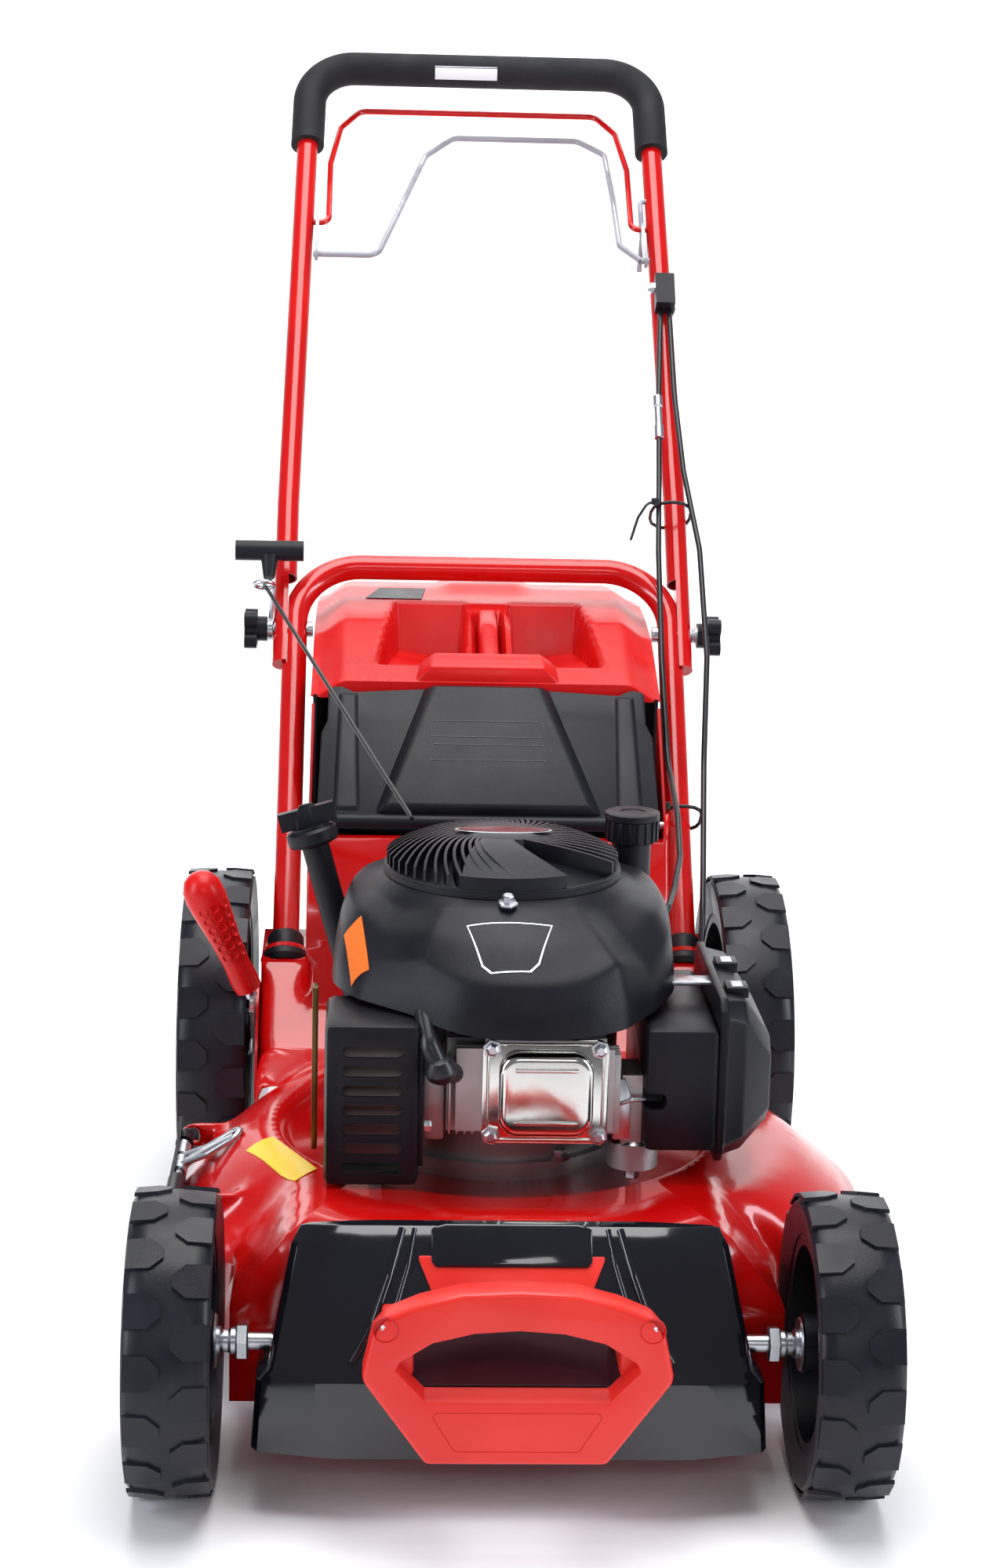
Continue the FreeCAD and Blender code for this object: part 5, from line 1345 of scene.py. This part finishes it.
cells_x, cells_y = 150, 120
verts, faces = [], []
for j in range(cells_y + 1):
    y = 353.5 + (848 - 353.5) * (j / cells_y) ** 1.25
    taper = 1 - 0.03 * between(y, 420, 848)
    for i in range(cells_x + 1):
        x = -147 + 294 * i / cells_x
        verts.append((x * taper, y, lid_height(x, y)))
for j in range(cells_y):
    for i in range(cells_x):
        p = j * (cells_x + 1) + i
        faces.append((p, p + 1, p + cells_x + 2, p + cells_x + 1))
top_count = len(verts)
rim_line = [i for i in range(cells_x + 1)] + [j * (cells_x + 1) + cells_x for j in range(1, cells_y + 1)]
rim_line += [cells_y * (cells_x + 1) + i for i in range(cells_x - 1, -1, -1)]
rim_line += [j * (cells_x + 1) for j in range(cells_y - 1, 0, -1)]
for p in rim_line:
    x, y, z = verts[p]
    verts.append((x, y, 424 if y < 440 else 419.5))
count = len(rim_line)
for i in range(count):
    j = (i + 1) % count
    faces.append((rim_line[i], rim_line[j], top_count + j, top_count + i))
lid = piece("lid_top", verts, faces, "red_plastic", 45)
wall = lid.modifiers.new("wall", "SOLIDIFY")
wall.thickness, wall.offset = 2.4 * MM, -1
bake(lid, 45)
tab = skinned("lid_tab", [[(-58, 371, 452), (60, 371, 452), (64, 352, 437), (-62, 352, 437)],
                          [(-44, 374, 461), (46, 374, 461), (50, 354, 452), (-48, 354, 452)]],
              "red_plastic", 2.5)
label = drape("lid_patch", [(-104, 506), (-54, 506), (-50, 545), (-92, 545)], lid, 600, "black_moulding",
              0.4, thick=0.5)
lid = join("recessed_lid", lid, tab, label)
ride(lid, "grass_box")
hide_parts("grass_box_lid")
print("lid faces", len(lid.data.polygons))

# %% [markdown]
# ## Grips, boots and handle trim
# Soft and small parts tell the hand where to go: a fat perforated grip on the height lever,
# rubber boots where the handle enters the deck, cable ties, a patch on the foam grip.

# %% Height lever grip with dimples
foot, head = Vector((-189.5, 168, 214)), Vector((-235, 165, 316))
grip_aim = (head - foot).normalized()
grip = lathe("grip_body", [(5.4, 4), (10, 6), (11.5, 14), (10.6, 30), (12, 52), (15, 76), (16.4, 90),
                           (15.5, 100), (11, 108), (5, 111.4), (0, 112)], tuple(foot), tuple(grip_aim),
             "red_plastic", 40, 50)
front_side = (Vector((0.25, -1, 0.2)) - grip_aim * Vector((0.25, -1, 0.2)).dot(grip_aim)).normalized()
cross = grip_aim.cross(front_side)
dimples = []
for k in range(6):
    for c in (-1, 0, 1):
        along = 40 + 8.4 * k
        radius = 11.4 + (along - 40) * 0.105
        spoke = (front_side * math.cos(c * 0.62) + cross * math.sin(c * 0.62)).normalized()
        dimples.append(lathe("dimple", [(0, -0.8), (2.2, -0.8), (3.1, 0.5), (3.6, 0.5), (3.6, -1.0),
                                        (0, -0.8)], tuple(foot + grip_aim * along + spoke * radius),
                             tuple(spoke), "red_plastic", 14))
grip = join("dimpled_height_grip", grip, *dimples)
ride(grip, "rear_axle")
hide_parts("height_grip")

# %% Boots, ties, label and bail plates
c50, s50 = math.cos(math.radians(50.8)), math.sin(math.radians(50.8))
leg_way = Vector((0, c50, s50))
leg_lift = Vector((0, -s50, c50))


def along_leg(run_at, x, lift):
    return Vector((x, 262, 223)) + leg_way * (312 + run_at) + leg_lift * lift


boots = []
for sx in (-1, 1):
    start = along_leg(-318, sx * 166, 0)
    boots.append(lathe("leg_boot", [(11.3, -6), (19, -5), (20.5, 0), (19, 5), (15.5, 8), (15, 20),
                                    (12.6, 24), (11.3, 24), (11.3, -6)], tuple(start), tuple(leg_way),
                       "black_moulding", 36))
boots = join("leg_boots", *boots)
ride(boots, "chassis")


def tie(name, run_at, x, lift, wide, deep, tail):
    """A cable tie round the leg and cables: a flat loop, a head and a loose tail."""
    middle = along_leg(run_at, x, lift)
    ring_points = [tuple(middle + Vector((1, 0, 0)) * u + leg_lift * v) for u,
                   v in rounded(wide, deep, min(wide, deep) / 2.2, 3)]
    loop = bar("tie_loop", ring_points, 3.2, 2, "cable_sheath", closed=True)
    head_at = middle + Vector((-wide / 2 + 2, 0, 0)) + leg_lift * (deep / 2 + 1)
    head = box_of("tie_head", tuple(head_at - Vector((3.5, 3.5, 3))),
                  tuple(head_at + Vector((3.5, 3.5, 3))), "cable_sheath", 0.8)
    end = bar("tie_tail", [tuple(head_at)] + [tuple(head_at + Vector(t)) for t in tail], 2.6, 8,
              "cable_sheath")
    return join(name, loop, head, end)


upper_tie = tie("upper_cable_tie", 120, 170, 9, 36, 44, [(-8, -6, -2), (-16, -10, -14), (-22, -12, -34)])
ride(upper_tie, "upper_frame")
lower_tie = tie("lower_cable_tie", -186, 168, 10, 34, 46, [(-12, -8, 4), (-30, -12, 10), (-44, -14, 12)])
ride(lower_tie, "chassis")
label_verts, label_faces = [], []
bar_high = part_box("foam_grip")[1]
top_y, top_z = bar_high.y * 1000 - 16, bar_high.z * 1000 - 16
for i in range(13):
    a = math.radians(100 + 110 * i / 12)
    for x in (-44, 17):
        label_verts.append((x, top_y + 16.1 * math.cos(a), top_z + 16.1 * math.sin(a) - 0.4))
for i in range(12):
    label_faces.append((2 * i, 2 * i + 1, 2 * i + 3, 2 * i + 2))
label = piece("grip_label", label_verts, label_faces, "patch_white", 60)
skin = label.modifiers.new("skin", "SOLIDIFY")
skin.thickness = 0.3 * MM
bake(label, 60)
ride(label, "upper_frame")
pivot = Vector((0, 742.97, 812.73))
link_bar = bar("bail_stub", [tuple(pivot + Vector((154, 2, -40))), tuple(pivot + Vector((155.5, -2, -8))),
                             tuple(pivot + Vector((154, 6, 16))), tuple(pivot + Vector((154, 18, 26))),
                             tuple(pivot + Vector((168, 18, 27)))], 5, 5, "grey_wire")
ride(link_bar, "drive_lever")
box_low, box_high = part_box("cable_bracket")
nut = lathe("bracket_nut", [(0, 7), (3.2, 7), (3.2, 4.6), (5.6, 4.4), (5.6, 0), (0, 0)],
            (box_low.x * 1000, (box_low.y + box_high.y) * 500, (box_low.z + box_high.z) * 500 + 4),
            (-1, 0, 0), "zinc_steel", 6, 20)
far_head = lathe("bracket_bolt_head", [(0, 3), (4, 2.4), (5.4, 0), (0, 0)], tuple(along_leg(352, 181, 2)),
                 (1, 0, 0), "zinc_steel", 20)
adjuster = lathe("cable_adjuster", [(3, 0), (4.4, 0.6), (4.4, 14), (3.6, 15), (3.6, 34), (4.4, 35),
                                    (4.4, 46), (3, 47), (3, 0)], tuple(along_leg(196, 161.6, 19)),
                 tuple(leg_way), "zinc_steel", 20)
trim = join("bracket_trim", nut, far_head, adjuster)
ride(trim, "upper_frame")
for place, sx in (("left", 1), ("right", -1)):
    low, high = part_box("knob_" + place)
    joint_y, joint_z = (low.y + high.y) * 500, (low.z + high.z) * 500
    coil = spring("knob_spring", 4, 9, 6, 1.6, (sx * 181, joint_y, joint_z), (0, 90 * sx, 0))
    washer = lathe("knob_washer", [(4.2, 0), (8.5, 0), (8.5, 1.4), (4.2, 1.4), (4.2, 0)],
                   (sx * 189, joint_y, joint_z), (sx, 0, 0), "zinc_steel", 24)
    made = join("knob_spring_" + place, coil, washer)
    ride(made, "knob_" + place)
sticker = drape("deck_patch", [(-183.5, -52), (-145.4, -129), (-131, -109), (-164.5, -42)], pressing, 400,
                "patch_yellow", 0.4, thick=0.4)
ride(sticker, "chassis")

# %% [markdown]
# ## Cables and rope across the folding joint
# Two control cables run down one side of the handle, and the starter rope ends in an eye on
# it. When the handle folds they must go with it, so they can't be rigid. We copy each solid
# and split its long edges into short ones, so that it could bend.

# %% Finely split copies of the cables and the rope
def bend_over(node, name, material, longest, smooth=40):
    made = bake(split_copy(nodes[node], name, material, longest, lambda at: 1), smooth)
    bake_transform(made)
    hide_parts(node)
    return made


cables = bend_over("control_cables", "bending_cables", "cable_sheath",
                   14)
rope = bend_over("starter_rope", "bending_rope", "cable_sheath",
                 8)
print("cable faces", len(cables.data.polygons), "rope faces", len(rope.data.polygons))
